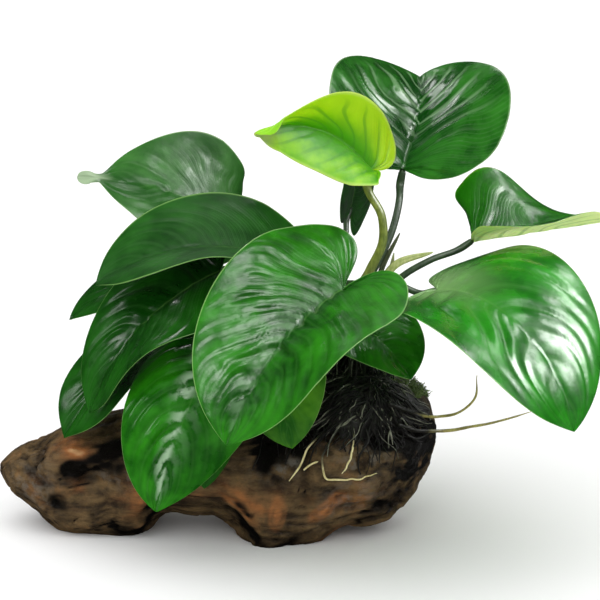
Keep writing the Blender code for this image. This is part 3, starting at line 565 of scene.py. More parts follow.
# Heights off the middle surface, each in step with how far apart the side veins are there: rounded
# bulges with sharp furrows at the veins, finer wrinkles that fan out from the notch, small dents, and
# a slow ripple that grows outwards. The phase is a whole number on each side vein; they leave the midrib
# leaning towards the tip and wander a little
def leafRelief(leaf, points, t, v, half, seed):
    wander = noise(together(t * 5, v * 2.2 + 9 * half, seed), 3)
    phase = leaf["veins"] * (t - leaf["lean"] * v**1.3) + 0.45 * wander
    stretch = np.linalg.norm(np.gradient(points, axis=0), axis=-1)
    spacing = np.clip(stretch / np.maximum(np.abs(np.gradient(phase, axis=0)), 1e-6), 0, 12)
    place = together(phase, v * 3 + 9 * half, seed)
    bulge = (np.sin(math.pi * phase) ** 2 + 0.02) ** 0.4 - 0.6
    uneven = np.clip(1 + 0.9 * noise(place * (0.8, 1, 1), 8), 0, 2)
    outer = (1 - smoothStep(0.6, 1, v)) * (0.35 + 0.65 * smoothStep(0, 0.25, v))
    outer = outer * (1 - 0.75 * smoothStep(0.55, 0.95, t)) * (1 - 0.7 * smoothStep(0.3, 1.1, v * t))
    quilt = leaf["quilt"][half] * spacing * bulge * uneven * outer
    nearRib = np.exp(-(v / 0.62) ** 2) * (1 - smoothStep(0.6, 0.98, t))
    wrinkle = noise(place * (2.6, 0.8, 1), 5) * np.abs(noise(place * (0.7, 1.2, 1), 6)) * 2
    fine = noise(place * (5, 1.5, 1), 7) * smoothStep(-0.3, 0.4, noise(place * (0.9, 2.0, 1), 9))
    wrinkle = leaf["wrinkle"][half] * spacing * (wrinkle * nearRib + 0.32 * fine * (nearRib + 0.15))
    dents = noise(points / 3.1, 17) * (0.4 + 0.6 * nearRib) * leaf["dents"]
    slow = layeredNoise(together(t * 4.2, v * 1.6 + 4 * half, seed + 0.5), 2, 11)
    slow = leaf["ripple"] * slow * v**1.5 * np.sin(math.pi * np.clip(t, 0, 1)) ** 0.6
    return quilt + wrinkle + dents + slow, phase


# A closed thin shell about the middle surface, made of four grids: two halves, each with an upper and an
# under side. Points that lie together are one: all of the notch and of the tip, those of the two halves
# along the midrib, and those of the two sides along the margin
def buildBlade(name, leaf, material, seed):
    t = np.linspace(0, 1, leafMesh["rows"] + 1)
    v = 1 - (1 - np.linspace(0, 1, leafMesh["columns"] + 1)) ** leafMesh["crowding"]
    t, v = np.meshgrid(t, v, indexing="ij")
    side = np.array((-1, 1)).reshape(2, 1, 1, 1)
    middle = np.stack([leafSurface(leaf, t, v, half) for half in (0, 1)])
    cross = np.cross(np.gradient(middle, axis=2), np.gradient(middle, axis=1)) * side
    short = np.linalg.norm(cross, axis=-1, keepdims=True) < 1e-7
    normal = unit(np.where(short, leafFrame(leaf)[1], cross))
    normal[:, :, 0] = unit(normal[0, :, 0] + normal[1, :, 0])
    relief, phase = map(np.stack, zip(*(leafRelief(leaf, middle[half], t, v, half, seed) for half in (0, 1))))
    fromRib = halfWidth(t) * v * leaf["width"] / 2
    ribWidth = leafMesh["midribWidth"] + (leafMesh["midribBaseWidth"] - leafMesh["midribWidth"]) * (1 - t)
    rib = np.exp(-(fromRib / ribWidth) ** 2) * smoothStep(0, 0.12, t + v) * (1 - t) ** 0.6
    rib = rib * smoothStep(0.1, leafMesh["fanShare"], t)
    wall = leafMesh["thickness"] / 2 * np.sqrt(np.clip(1 - v**12, 0, 1)) * smoothStep(1.0, 0.97, t)
    heights = np.stack([relief + wall - leafMesh["midribDepth"] * rib,
                        relief - wall - leafMesh["midribRadius"] * rib], 1)
    points = middle[:, None] + normal[:, None] * heights[..., None]
    spot = np.arange(heights.size).reshape(heights.shape)
    own = spot.copy()
    fan = int(leafMesh["fanShare"] * leafMesh["rows"]) + 1
    own[:, :, 0, :] = spot[0, 0, 0, 0]
    own[:, :, :fan, 0] = spot[0, 0, 0, 0]
    own[:, :, -1, :] = spot[0, 0, -1, 0]
    own[1, :, fan:-1, 0] = own[0, :, fan:-1, 0]
    own[:, 1, 1:-1, -1] = own[:, 0, 1:-1, -1]
    used, index = np.unique(own, return_inverse=True)
    corners = []
    for half, layer in np.ndindex(2, 2):
        grid = spot[half, layer]
        quad = together(grid[:-1, :-1], grid[:-1, 1:], grid[1:, 1:], grid[1:, :-1]).reshape(-1, 4)
        if half == layer:
            quad = quad[:, ::-1]
        corners += [quad[:, (0, 1, 2)], quad[:, (0, 2, 3)]]
    corners = np.concatenate(corners)
    triangles = index.ravel()[corners]
    whole = (triangles != np.roll(triangles, 1, axis=1)).all(1)
    leafMap = together(np.broadcast_to(0.5 + 0.5 * side * v, own.shape), t).reshape(-1, 2)
    values = {"veinPhase": np.broadcast_to(phase[:, None], own.shape).ravel()[used],
              "underside": np.broadcast_to(np.array((0, 1))[:, None, None], own.shape).ravel()[used]}
    makePiece("blade_" + name, points.reshape(-1, 3)[used], [triangles[whole]], material, values,
              "leaf_" + name, leafMap[corners[whole]])


def buildLeaves():
    materials = buildLeafMaterials()
    for seed, (name, leaf) in enumerate(leafTable.items()):
        leaf = {**leafDefaults, **leaf}
        buildBlade(name, leaf, materials[leaf["look"]], seed)
    print("leaves made:", len(leafTable))


# Stems and roots share one skin: streaks of a second colour along the base colour, and a third one at the
# foot, over the given share of the length. On the roots and straws that third colour is near black, mostly
# painted shade where they run in under the leaves

stemSkinDefaults = dict(base=(0.0, 0.0, 0.0), streak=(0.0, 0.0, 0.0), root=(0.0, 0.0, 0.0), gloss=0.45,
                        foot=0.28)
stemLooks = {
    "stalk": dict(base=(0.012, 0.036, 0.01), streak=(0.034, 0.08, 0.022), root=(0.16, 0.2, 0.07), gloss=0.5),
    "young_stalk": dict(base=(0.12, 0.17, 0.015), streak=(0.26, 0.32, 0.04), root=(0.3, 0.34, 0.1),
                        gloss=0.5),
    "rhizome": dict(base=(0.05, 0.07, 0.02), streak=(0.13, 0.15, 0.05), root=(0.07, 0.045, 0.02)),
    "sheath_pale": dict(base=(0.36, 0.46, 0.1), streak=(0.6, 0.66, 0.26), root=(0.3, 0.36, 0.09),
                        gloss=0.42),
    "sheath_spike": dict(base=(0.03, 0.05, 0.015), streak=(0.11, 0.13, 0.05), root=(0.22, 0.26, 0.09),
                         gloss=0.4),
    "sheath_olive": dict(base=(0.2, 0.25, 0.08), streak=(0.38, 0.42, 0.18), root=(0.24, 0.28, 0.1)),
    # The roots' near-black foot colours are painted shade where they run in under the leaves
    "root": dict(base=(0.55, 0.45, 0.17), streak=(0.86, 0.78, 0.42), root=(0.02, 0.018, 0.012), gloss=0.4,
                 foot=0.66),
    "root_grey": dict(base=(0.1, 0.1, 0.07), streak=(0.36, 0.36, 0.27), root=(0.012, 0.011, 0.009)),
    "root_olive": dict(base=(0.2, 0.17, 0.03), streak=(0.48, 0.43, 0.11), root=(0.01, 0.009, 0.005),
                       foot=0.5),
}
# The dark tangle colour is near black: dark roots darkened further as painted shade under the leaves. It
# colours the felt as well, and the straws' dark foot is painted shade too
tangleLooks = {
    "tangle_dark": dict(base=(0.004, 0.0035, 0.003), streak=(0.016, 0.014, 0.01),
                        root=(0.003, 0.0026, 0.002), gloss=0.6),
    "tangle_grey": dict(base=(0.035, 0.036, 0.025), streak=(0.26, 0.27, 0.19), root=(0.01, 0.009, 0.007),
                        foot=0.5),
}
mossLooks = {"moss": dict(base=(0.04, 0.085, 0.01), streak=(0.2, 0.3, 0.05), root=(0.014, 0.022, 0.006),
                          gloss=0.6)}
# Each group of looks with its values for the shader and the depth of its bumps
stemGroups = ((stemLooks, {"Coat Weight": 0.2, "Coat Roughness": 0.2, "IOR": 1.45}, 0.00015),
              (tangleLooks, {"Coat Weight": 0.15, "Coat Roughness": 0.25}, 0.0001), (mossLooks, {}, 0.00005))


def buildStemMaterials():
    tree, given = newGroup("stemSkin", stemSkinDefaults)
    place = objectPlace(tree)
    blotch = place.noise(220.0, 3.0, 0.6)
    streak = place.stretched((1.0, 1.0, 0.22)).noise(1500.0, 2.0, 0.6)
    colour = (blotch * 0.7 + streak * 0.6).step(0.42, 0.88).mix(given.base, given.streak)
    foot = (vertexValue(tree, "along") + blotch * 0.1 - given.foot).step(0.0, -0.23)
    skin = endGroup(tree, colour=foot.mix(colour, given.root), roughness=streak * 0.2 + (given.gloss - 0.1),
                    height=streak + blotch * 0.6)
    return {name: newMaterial(name, skin, values, shader, depth)
            for looks, shader, depth in stemGroups for name, values in looks.items()}


# Rhizome, stalks and scales

rhizomePath = ((-42, 5, 58, 3.6), (-34, 4, 59, 4.4), (-18, 2, 61.5, 4.8), (0, 0, 68, 4.9),
               (14, -2, 75.5, 4.8), (22, -3, 81, 4.4), (26, -3, 87, 3.0))
rhizomeMesh = dict(rings=220, sides=40, nodes=11, swell=0.45, scar=0.35, knobs=0.07, axisSteps=201)
stalkMesh = dict(rings=64, sides=24, sunk=1.2, rise=3, lead=6, tuck=0.25, ribs=9, ribDepth=0.035,
                 footSwell=0.35, neckSwell=0.18, endShare=0.75)
sheathMesh = dict(rings=60, sides=28, flatness=0.6, groove=0.42)
sheathTable = {
    "pale": dict(path=((30, 5, 94), (38, 5.5, 107.5), (53.5, 5.5, 113)), radius=2.0),
    "spike": dict(path=((29, 3, 94), (33, 4, 107), (40, 5, 121)), radius=1.3),
    "olive": dict(path=((32, 8, 88), (36, 9, 101), (38, 10, 112)), radius=1.4),
}


# Middle line and radius of the rhizome at each share of its length
def rhizomeAxis(share):
    rows = pathPoints(rhizomePath, rhizomeMesh["axisSteps"])
    return np.stack([np.interp(share, np.linspace(0, 1, len(rows)), rows[:, k]) for k in range(4)], -1)


def turnsOf(sides):
    return np.arange(sides) * 2 * math.pi / sides


# A tube whose radius swells at each leaf scar, with a sharp ring there and a knobbly skin
def buildRhizome(material):
    sides = rhizomeMesh["sides"]
    share = np.linspace(0, 1, rhizomeMesh["rings"])
    rows = rhizomeAxis(share)
    cycle = rhizomeMesh["nodes"] * share
    swell = rhizomeMesh["swell"] * np.cos(2 * math.pi * cycle)
    scar = rhizomeMesh["scar"] * np.exp(-((cycle + 0.12) % 1 - 0.12) ** 2 / 0.004)
    ends = np.clip(np.minimum(share, 1 - share) * 16 + 0.1, 0, 1) ** 0.5
    radius = (rows[:, 3] + swell + scar - 0.2) * ends
    angle = turnsOf(sides)
    knobs = layeredNoise(together(cycle[:, None] * 1.7, 2.2 * np.cos(angle), 2.2 * np.sin(angle)), 3, 21)
    tubePiece("rhizome_stem", rows[:, :3], radius, sides, material, "rhizome",
              ridges=1 + rhizomeMesh["knobs"] * knobs)


# A stalk leaves the rhizome square to it, passes its own points and meets the notch from below. It is
# ribbed, wider at its sheathing foot, and swells a little at the neck under the blade
def buildStalk(name, leaf, material):
    share, turn = leaf["foot"]
    before, here, after = rhizomeAxis(np.array((share - 0.02, share, min(share + 0.02, 1))))
    axis = unit(after[:3] - before[:3])
    level = unit(np.cross(axis, (0, 0, 1)))
    turn = math.radians(turn)
    out = level * math.cos(turn) + np.cross(level, axis) * math.sin(turn)
    base = np.array(leaf["base"], float)
    upper = leafFrame(leaf)[1]
    start = here[:3] + out * (here[3] - stalkMesh["sunk"])
    straight = unit(base - (leaf["via"][-1] if leaf["via"] else start))
    approach = unit(leaf["square"] * upper + (1 - leaf["square"]) * straight)
    end = base - upper * stalkMesh["tuck"]
    route = [start, here[:3] + out * (here[3] + stalkMesh["rise"]), *leaf["via"],
             end - approach * stalkMesh["lead"], end]
    s = np.linspace(0, 1, stalkMesh["rings"])
    first, last = leaf["radii"]
    radius = first + (last - first) * s**0.6
    radius *= 1 + stalkMesh["footSwell"] * np.exp(-(s / 0.12) ** 2)
    radius *= 1 + stalkMesh["neckSwell"] * np.exp(-((s - 0.93) / 0.05) ** 2)
    radius *= np.where(s > 0.985, stalkMesh["endShare"], 1)
    sides = stalkMesh["sides"]
    ribs = 1 + stalkMesh["ribDepth"] * np.cos(stalkMesh["ribs"] * turnsOf(sides))
    tubePiece("petiole_" + name, pathPoints(route, len(s)), radius, sides, material,
              "stalk_" + name, ridges=ribs)


# A scale wrapped about its own path: a flattened spindle, grooved down its inner side, ending in a point
def buildSheath(name, sheath, material):
    s = np.linspace(0, 1, sheathMesh["rings"])
    radius = sheath["radius"] * (0.55 + 1.2 * s) * (1 - s) ** 0.7 + 0.12
    angle = turnsOf(sheathMesh["sides"])
    groove = 1 - sheathMesh["groove"] * np.exp(-((angle - math.pi / 2) / 0.5) ** 2)
    tubePiece("scale_" + name, pathPoints(sheath["path"], len(s)), radius, len(angle), material,
              "sheath_" + name, sheathMesh["flatness"], groove * (1 + 0.03 * np.cos(12 * angle)))


def buildStems(materials):
    buildRhizome(materials["rhizome"])
    for name, leaf in leafTable.items():
        slotName = "young_stalk" if name == "young" else "stalk"
        buildStalk(name, {**leafDefaults, **leaf}, materials[slotName])
    for name, sheath in sheathTable.items():
        buildSheath(name, sheath, materials["sheath_" + name])
    print("stems made:", len(leafTable), "stalks and", len(sheathTable), "scales")


# Driftwood. Stations: x, underside, top, front, back. Spots: x, angle round, half sizes, height or strength
woodStations = np.array((
    (-123, 22, 26, -1, 4), (-119, 16.5, 29.5, -6, 10), (-110, 9, 34, -12, 18), (-101, 0.5, 38.5, -16, 23),
    (-94, -4, 42, -18, 25), (-78, -4, 46, -20, 27), (-64, -4, 48, -22, 27), (-58, 5, 49, -23, 26),
    (-44, 8, 50, -25, 25), (-32, 7, 51, -26, 25), (-25, 0.5, 53, -27, 25), (-20, -8, 55, -28, 25),
    (0, -8, 62, -30, 26), (7, -5, 65, -31, 27), (14, 1.5, 68, -31, 27), (28, 4, 70, -29, 26),
    (38, 8, 63.5, -25, 23), (46, 17, 55.5, -19, 17), (52, 28, 50, -10, 10), (55, 36, 44, -4, 4)), float)
woodSpots = dict(
    lumps=(
        (-96, 40, 12, 34, 2.4), (-84, 5, 9, 26, -3.6), (-70, 62, 12, 30, 1.8), (-58, 8, 16, 24, 1.6),
        (-44, 40, 10, 26, -2.2), (-20, 26, 20, 16, -2), (-10, -8, 18, 22, 1.6), (18, 2, 14, 24, 2.2),
        (34, 20, 9, 22, -1.8), (46, 95, 7, 34, 1.6), (-80, 150, 16, 30, 2), (-40, 175, 14, 30, -2.4),
        (-5, 165, 16, 26, 2.4), (30, 180, 10, 30, -1.6)),
    knots=(
        (11, -20, 8.5, 8, 1.25), (-9, -10, 4, 10, 0.9), (-91, 48, 5, 11, 0.5), (-62, -6, 6, 10, 0.7),
        (40, 150, 8, 16, 1), (-30, 170, 9, 16, 1.1), (-88, 175, 7, 14, 0.9)),
    creases=(
        (-115, 55, 1.6, 10, 1.6), (-111, 38, 1.6, 10, 1.7), (-107, 22, 1.6, 10, 1.7), (-103, 6, 1.6, 10, 1.5),
        (-99, -9, 1.8, 9, 1.3), (-118, 20, 1.2, 14, 1), (-113, 0, 1.2, 12, 0.9), (-92, 20, 2.5, 7, 1.2),
        (-96, -8, 3.5, 9, 1.2), (-84, 5, 5, 8, 1.2), (-60, -20, 12, 9, 1.4), (-20, -27, 7, 6, 1.6),
        (-14, 22, 3, 16, 1), (2, 6, 2.4, 12, 1), (31, -35, 1.6, 4, 1.4), (17, -18, 9, 3, 0.8),
        (24, -30, 8, 3, 0.7), (46, 10, 2.5, 28, 0.8)),
    # Worn orange-brown places; over 1 they go on to cream. The first, on top of the left knob, is partly a
    # painted highlight
    worn=(
        (-92, 48, 6, 14, 1.3), (-93, 62, 2, 6, 0.8), (-87, 34, 4, 9, 0.8), (-104, -2, 5, 14, 0.45),
        (-89, 2, 3, 12, 0.7), (-63, -4, 8, 14, 0.6), (-40, -14, 7, 8, 0.6), (-26, -14, 7, 4, 1.1),
        (-19, -4, 10, 4, 0.8), (22, -24, 9, 9, 0.45), (6, -56, 11, 3, 0.7), (46, -12, 2, 7, 0.6),
        (-52, 60, 12, 20, 0.4), (-70, 120, 16, 24, 0.6), (-20, 140, 20, 24, 0.5), (24, 170, 16, 26, 0.6),
        (-100, 170, 12, 30, 0.6), (-60, 190, 14, 16, 0.5)),
    # Grey, rough places
    pale=(
        (-108, 4, 9, 30, 0.5), (-7, 12, 10, 6, 0.9), (25, 3, 8, 6, 0.9), (-74, 10, 12, 8, 0.4),
        (20, -20, 12, 14, 0.5), (-50, 150, 20, 14, 0.5), (10, 190, 14, 12, 0.5)),
    # Black places. Most are painted shade, under the leaves and the root mass, along the underside and in
    # pits; the rest are dark patches in the wood
    black=(
        (46, 16, 13, 34, 1.9), (34, 28, 14, 18, 1.2), (10, 34, 22, 16, 1.2), (-14, 28, 22, 13, 1.1),
        (-78, 34, 9, 16, 0.9), (-58, 36, 16, 22, 0.8), (-96, -6, 6, 12, 0.6), (-92, 20, 4, 8, 0.8),
        (-20, -27, 7, 6, 0.8), (40, -30, 14, 16, 0.5), (-50, -40, 20, 16, 0.5), (20, 80, 26, 30, 0.6),
        (-76, 14, 7, 9, 0.35), (-82, -30, 14, 10, 0.35), (-30, 4, 14, 9, 0.3), (2, -8, 9, 9, 0.3),
        (-94, 4, 6, 12, 0.3), (-22, -12, 8, 5, 0.8), (-6, -36, 16, 9, 0.65), (8, -60, 16, 12, 0.7),
        (-88, 16, 3, 8, 0.7), (-70, -44, 20, 10, 0.5), (52, -8, 6, 34, 1.3), (30, -46, 12, 10, 0.4)))
woodShape = dict(squareness=2.5, ridgeHeight=0.7, ridgeCount=7, ridgeTwist=0.035)
woodMesh = dict(rings=330, sides=290, lumps=0.9, knobs=0.2, fibre=0.4, grit=0.14, crack=0.8, pit=0.5,
                rough=0.6)
# Noise on the log: its size in millimetres, along, across and up where they differ, its layers and its seed
woodNoise = dict(
    lumps=(13, 3, 50), fibre=((12, 2.6, 2.6), 3, 60), grit=((4.2, 1.9, 1.9), 2, 65),
    cracks=((42, 8, 8), 2, 71), knobs=(9.5, 2, 75), cracked=(11, 2, 80), pits=((5, 3.6, 3.6), 2, 90),
    rough=(3.4, 3, 95), worn=((11, 5, 5), 3, 97), rings=(8, 2, 98), black=((15, 5, 5), 3, 99))
woodLook = dict(dark=(0.024, 0.016, 0.009), brown=(0.15, 0.095, 0.04), worn=(0.33, 0.125, 0.038),
                grey=(0.15, 0.135, 0.11), black=(0.004, 0.003, 0.002), cream=(0.7, 0.45, 0.22), wetness=0.04)
woodShader = {"Coat Weight": 0.03, "Coat Roughness": 0.2, "IOR": 1.4, "Specular IOR Level": 0.15}


# How far a place on the log is from a spot, in the spot's half sizes
def spotAway(spot, x, turn):
    return (x - spot[0]) / spot[2], ((turn - spot[1] + 180) % 360 - 180) / spot[3]


def spotSum(kind, x, turn):
    return sum(spot[4] * np.exp(-np.square(spotAway(spot, x, turn)).sum(0)) for spot in woodSpots[kind])


# Across the log, a superellipse between its four edges at x, with lumps and twisting ridges added to its
# half sizes. turn goes round from the front over the top
def woodSurface(x, turn):
    under, top, front, back = (smoothCurve(woodStations[:, 0], woodStations[:, k], x) for k in range(1, 5))
    angle = np.radians(turn)
    power = 2 / woodShape["squareness"]
    across = -np.sign(np.cos(angle)) * np.abs(np.cos(angle)) ** power
    upward = np.sign(np.sin(angle)) * np.abs(np.sin(angle)) ** power
    halfY, halfZ = (back - front) / 2, (top - under) / 2
    swell = spotSum("lumps", x, turn) + woodShape["ridgeHeight"] * np.sin(
        woodShape["ridgeCount"] * angle + woodShape["ridgeTwist"] * x + 1.4 * np.sin(0.05 * x))
    swell = swell * np.clip(np.minimum(halfY, halfZ) / 12, 0, 1)
    return together(x, (front + back) / 2 + (halfY + swell) * across,
                    (under + top) / 2 + (halfZ + swell) * upward)


# Where the log's inside lies, seen from a place on its surface
def woodInside(surface):
    return together(surface[..., 0], -1.0, 0.5 * surface[..., 2] + 18)


# The surface and its outward directions, from how it runs on a little further along and round
def woodNormal(x, turn, nudge=0.4):
    surface = woodSurface(x, turn)
    alongX, alongTurn = woodSurface(x + nudge, turn) - surface, woodSurface(x, turn + 3 * nudge) - surface
    normal = unit(np.cross(alongTurn, alongX))
    return surface, normal * np.sign((normal * (surface - woodInside(surface))).sum(-1, keepdims=True))


def woodNoiseAt(kind, place):
    size, layers, seed = woodNoise[kind]
    return layeredNoise(place / size, layers, seed)


# The log's fine surface: the solid's form, with lumps, long fibres, cracks and pits from noise that is
# stretched along the log and bent by slower noise, so that the grain flows
def woodDetail(x, turn):
    base = woodSurface(x, turn)
    normal = unit(np.cross(np.gradient(base, axis=0), np.gradient(base, axis=1)))
    outward = base - base.mean(1, keepdims=True)
    normal *= np.sign((normal * outward).sum(-1, keepdims=True) + 1e-9)
    flow = base + np.stack([layeredNoise(base / 24, 2, 40 + k) for k in range(3)], -1) * (4, 5, 5)
    lumps = woodNoiseAt("lumps", base)
    fibre, grit, cracks = (woodNoiseAt(kind, flow) for kind in ("fibre", "grit", "cracks"))
    knobs = 1 - 2 * np.abs(woodNoiseAt("knobs", base))
    crack = np.exp(-(cracks / 0.06) ** 2) * smoothStep(0.0, 0.5, woodNoiseAt("cracked", base))
    pit = smoothStep(0.55, 0.95, woodNoiseAt("pits", base))
    crease = spotSum("creases", x, turn)
    pale = np.clip(spotSum("pale", x, turn), 0, 1)
    rough = pale * woodNoiseAt("rough", base)
    height = (woodMesh["lumps"] * lumps + woodMesh["knobs"] * knobs
              + woodMesh["fibre"] * (fibre - 0.4 * np.abs(fibre)) + woodMesh["grit"] * grit
              - woodMesh["crack"] * crack - woodMesh["pit"] * pit - crease + woodMesh["rough"] * rough)
    calm = smoothStep(0, 7, x - woodStations[0, 0]) * smoothStep(0, 5, woodStations[-1, 0] - x)
    points = base + normal * (height * (0.35 + 0.65 * calm))[..., None]
    points[..., 2] = np.maximum(points[..., 2], 0)
    black = 0.85 + 0.7 * woodNoiseAt("black", flow) + 0.4 * fibre
    black = np.clip(spotSum("black", x, turn) * black, 0, 1)
    # Near black: painted shade in cracks, pits and creases and in the low places between lumps, and the black
    # places
    shadeAndDarkWood = np.clip(0.5 * crack + 0.3 * pit + 0.35 * crease - 0.2 * lumps - 0.1 * fibre + black, 0, 1)
    worn = spotSum("worn", x, turn) * (0.7 + 0.8 * woodNoiseAt("worn", flow))
    rings = 3 * woodNoiseAt("rings", base)
    for knot in woodSpots["knots"]:
        away = np.hypot(*spotAway(knot, x, turn))
        worn = worn + knot[4] * (0.75 + 0.3 * np.cos(8 * away + rings)) * np.exp(-(away / 0.85) ** 4)
    return points, dict(shadeAndDarkWood=shadeAndDarkWood, worn=np.clip(worn, 0, 2), pale=pale, fibre=0.5 + 0.4 * fibre)


# Wet wood: dark brown fibres, warmer worn places, grey rough ones, and near black as painted shade in the
# hollows, under the leaves and along the underside, and on a few dark patches
def buildWoodSkin():
    tree, given = newGroup("wetWood", woodLook)
    place = objectPlace(tree)
    shadeAndDarkWood, worn, pale, fibre = (vertexValue(tree, name) for name in ("shadeAndDarkWood", "worn", "pale", "fibre"))
    grain = place.stretched((0.22, 1.0, 1.0)).noise(420.0, 4.0, 0.65)
    fine = place.stretched((0.4, 1.0, 1.0)).noise(2200.0, 2.0, 0.6)
    blotch = place.noise(75.0, 4.0, 0.65)
    speck = place.noise(260.0, 3.0, 0.6)
    tone = grain * 0.35 + fibre * 0.2 + blotch * 0.7
    colour = tone.step(0.46, 0.82).mix(given.dark, given.brown)
    wornShare = worn * grain.step(0.3, 0.65, 0.5, 1.0) + blotch.step(0.55, 0.75) * 0.25
    colour = wornShare.clamped().mix(colour, given.worn)
    # Cream where the worn places and knot rings are strongest, partly a painted highlight
    colour = worn.step(1.1, 2.2).mix(colour, given.cream)
    colour = (pale * speck.step(0.42, 0.62)).mix(colour, given.grey)
    colour = shadeAndDarkWood.step(0.15, 0.85).mix(colour, given.black)
    rough = blotch.step(0.3, 0.7, 0.22, 0.5) + pale * 0.2 + (fine * 0.25 + given.wetness)
    return endGroup(tree, colour=colour, roughness=rough, height=grain + fine * 0.6 + speck * 0.4)


def buildWood():
    material = newMaterial("driftwood_wet", buildWoodSkin(), {}, woodShader, 0.0007)
    turn = np.arange(woodMesh["sides"]) * 360 / woodMesh["sides"]
    share = np.linspace(0, 1, woodMesh["rings"])
    share = 0.3 * (1 - np.cos(share * math.pi)) / 2 + 0.7 * share
    x = woodStations[0, 0] + (woodStations[-1, 0] - woodStations[0, 0]) * share
    grid, values = woodDetail(*np.meshgrid(x, turn, indexing="ij"))
    points, faces = closedGrid(grid)
    values = {name: np.concatenate([a.ravel(), a[[0, -1], 0]]) for name, a in values.items()}
    log = makePiece("log", points, faces, material, values, "driftwood")
    print("driftwood made:", len(log.data.polygons), "faces")
    return log


# Main roots follow the solids' own paths

rootTable = {
    "right_high": dict(path=((34, -27, 59), (42, -22, 55), (49, -15, 51), (55.5, -8, 48.5), (62, -8, 49.5),
                             (67.5, -7.5, 53), (70.5, -7, 56.5), (71, -6, 65)),
                       radii=(0.8, 0.4), look="root_olive"),
    "right_low": dict(path=((38, -25, 50), (46, -20, 46.5), (54, -13, 44), (63, -12, 44.5), (74, -11, 46),
                            (92, -10, 51)), radii=(0.9, 0.35), look="root_olive"),
    "front_1": dict(path=((17, -29, 56), (7, -30, 46.5), (3.5, -31, 43), (-0.5, -31, 35), (-4, -31, 29.5)),
                    radii=(0.45, 0.36)),
    "front_2": dict(path=((20, -29, 57), (12, -32, 46), (9.0, -33, 40), (9.4, -33.5, 33.5),
                          (10.3, -33.4, 30.6), (14.0, -33, 30.2), (22.5, -32, 31), (29.5, -29.5, 32)),
                    radii=(0.45, 0.36)),
    "front_3": dict(path=((24, -29, 59), (22.5, -30, 53.5), (20.5, -32, 46), (18.5, -33.5, 38.5),
                          (15.8, -33, 33)), radii=(0.45, 0.36)),
    "front_4": dict(path=((1.5, -32, 34), (4.5, -32.5, 36.5), (7.4, -33, 38)), radii=(0.35, 0.4),
                    footShare=0.2),
    "front_5": dict(path=((29, -28, 59), (33, -26, 55), (35, -26, 48), (36, -26, 42)), radii=(0.5, 0.3),
                    look="root_grey"),
    "back": dict(path=((0, 14, 66), (4, 26, 52), (8, 33, 38), (16, 35, 26)), radii=(0.8, 0.45),
                 look="root_olive"),
}
rootMesh = dict(rings=70, sides=12, wobble=0.35, wobbleLength=9, tipTaper=0.55)


# A piece's mesh, back in millimetres, for finding the nearest place on it
def surfaceTree(piece):
    points = np.empty(len(piece.data.vertices) * 3, np.float32)
    piece.data.vertices.foreach_get("co", points)
    points = points.reshape(-1, 3) / mm - shift
    return BVHTree.FromPolygons(points.tolist(), [tuple(face.vertices) for face in piece.data.polygons])


# Points that are nearer to the surface than their clearance, moved out to it
def heldOff(points, clearances, tree):
    moved = []
    for point, clearance in zip(points, clearances):
        near, normal, _, _ = tree.find_nearest(Vector(point))
        height = (Vector(point) - near).dot(normal)
        moved.append(near + normal * clearance if height < clearance else point)
    return np.array(moved)


# Tubes along paths that wobble by slow noise, uneven in radius and thinner at the tip. They are held off the
# log, then smoothed
def buildMainRoots(materials, log):
    tree = surfaceTree(log)
    s = np.linspace(0, 1, rootMesh["rings"])
    for seed, (name, root) in enumerate(rootTable.items()):
        points = pathPoints(root["path"], len(s))
        cycles = s * np.linalg.norm(np.diff(points, axis=0), axis=-1).sum() / rootMesh["wobbleLength"]
        wobble = np.stack([noise(together(cycles, seed, k), 31) for k in range(3)], -1)
        points = points + rootMesh["wobble"] * wobble * np.minimum(1, 8 * s)[:, None]
        radius = root["radii"][0] + (root["radii"][1] - root["radii"][0]) * s
        radius = radius * (1 + 0.08 * noise(together(s * 22, seed, 0), 33))
        radius = radius * (1 - rootMesh["tipTaper"] * smoothStep(0.86, 1, s))
        points = heldOff(points, radius * 0.75, tree)
        points[1:-1] = (points[:-2] + 2 * points[1:-1] + points[2:]) / 4
        tubePiece("runner_" + name, points, radius, rootMesh["sides"], materials[root.get("look", "root")],
                  "root_" + name, footShare=root.get("footShare", 1.0))
    print("main roots made:", len(rootTable))


# The mass of fine roots: an oval of the log, with dark roots lying over it and hanging to it from the
# rhizome, paler straws among them, and a felt of root hairs below. reach and curl are the roots' own, rise
# lifts them, and scatter spreads where they start

rootTangle = dict(
    centre=(27, 50), halfX=27, halfTurn=44, lift=3.2, steps=20, sides=5,
    dark=dict(flat=430, hanging=170, reach=0.95, curl=0.5, rise=0.3, scatter=0.5, radius=0.6),
    straws=dict(flat=70, hanging=17, reach=0.75, curl=0.35, rise=1.0, scatter=1.0, radius=0.34))
felt = dict(rings=60, spokes=220, uneven=0.16, height=2.0, lumps=1.2, lift=0.1, edgeDrop=2.2, under=2.5)


# Each starts somewhere about the middle of the mass and runs outwards in its own direction in the log's
# own coordinates, at a height that falls towards its tip
def lyingRoots(rng, kind, s):
    count = kind["flat"]
    out = rng.uniform(0, 2 * math.pi, (count, 1))
    far = rng.uniform(0, 0.45, (count, 1)) ** 1.2 + rng.uniform(0.35, 1.0, (count, 1)) * kind["reach"] * s
    bend = rng.normal(0, 0.5, (count, 1)) * s + 0.1 * np.sin(s * rng.uniform(5, 14, (count, 1)))
    out = out + kind["curl"] * bend
    middle = rootTangle["centre"] + kind["scatter"] * rng.normal(0, 1, (count, 2)) * (5, 12)
    x = np.clip(middle[:, :1] + rootTangle["halfX"] * far * np.cos(out), -20, 51)
    turn = middle[:, 1:] + rootTangle["halfTurn"] * far * np.sin(out)
    height = rootTangle["lift"] * rng.uniform(0.15, 1.0, (count, 1)) * np.clip(1.15 - far, 0.1, 1)
    height = height + 0.5 * np.sin(s * rng.uniform(4, 12, (count, 1)) + rng.uniform(0, 6, (count, 1)))
    surface, normal = woodNormal(x, turn)
    return surface + normal * (height + kind["rise"])[..., None]


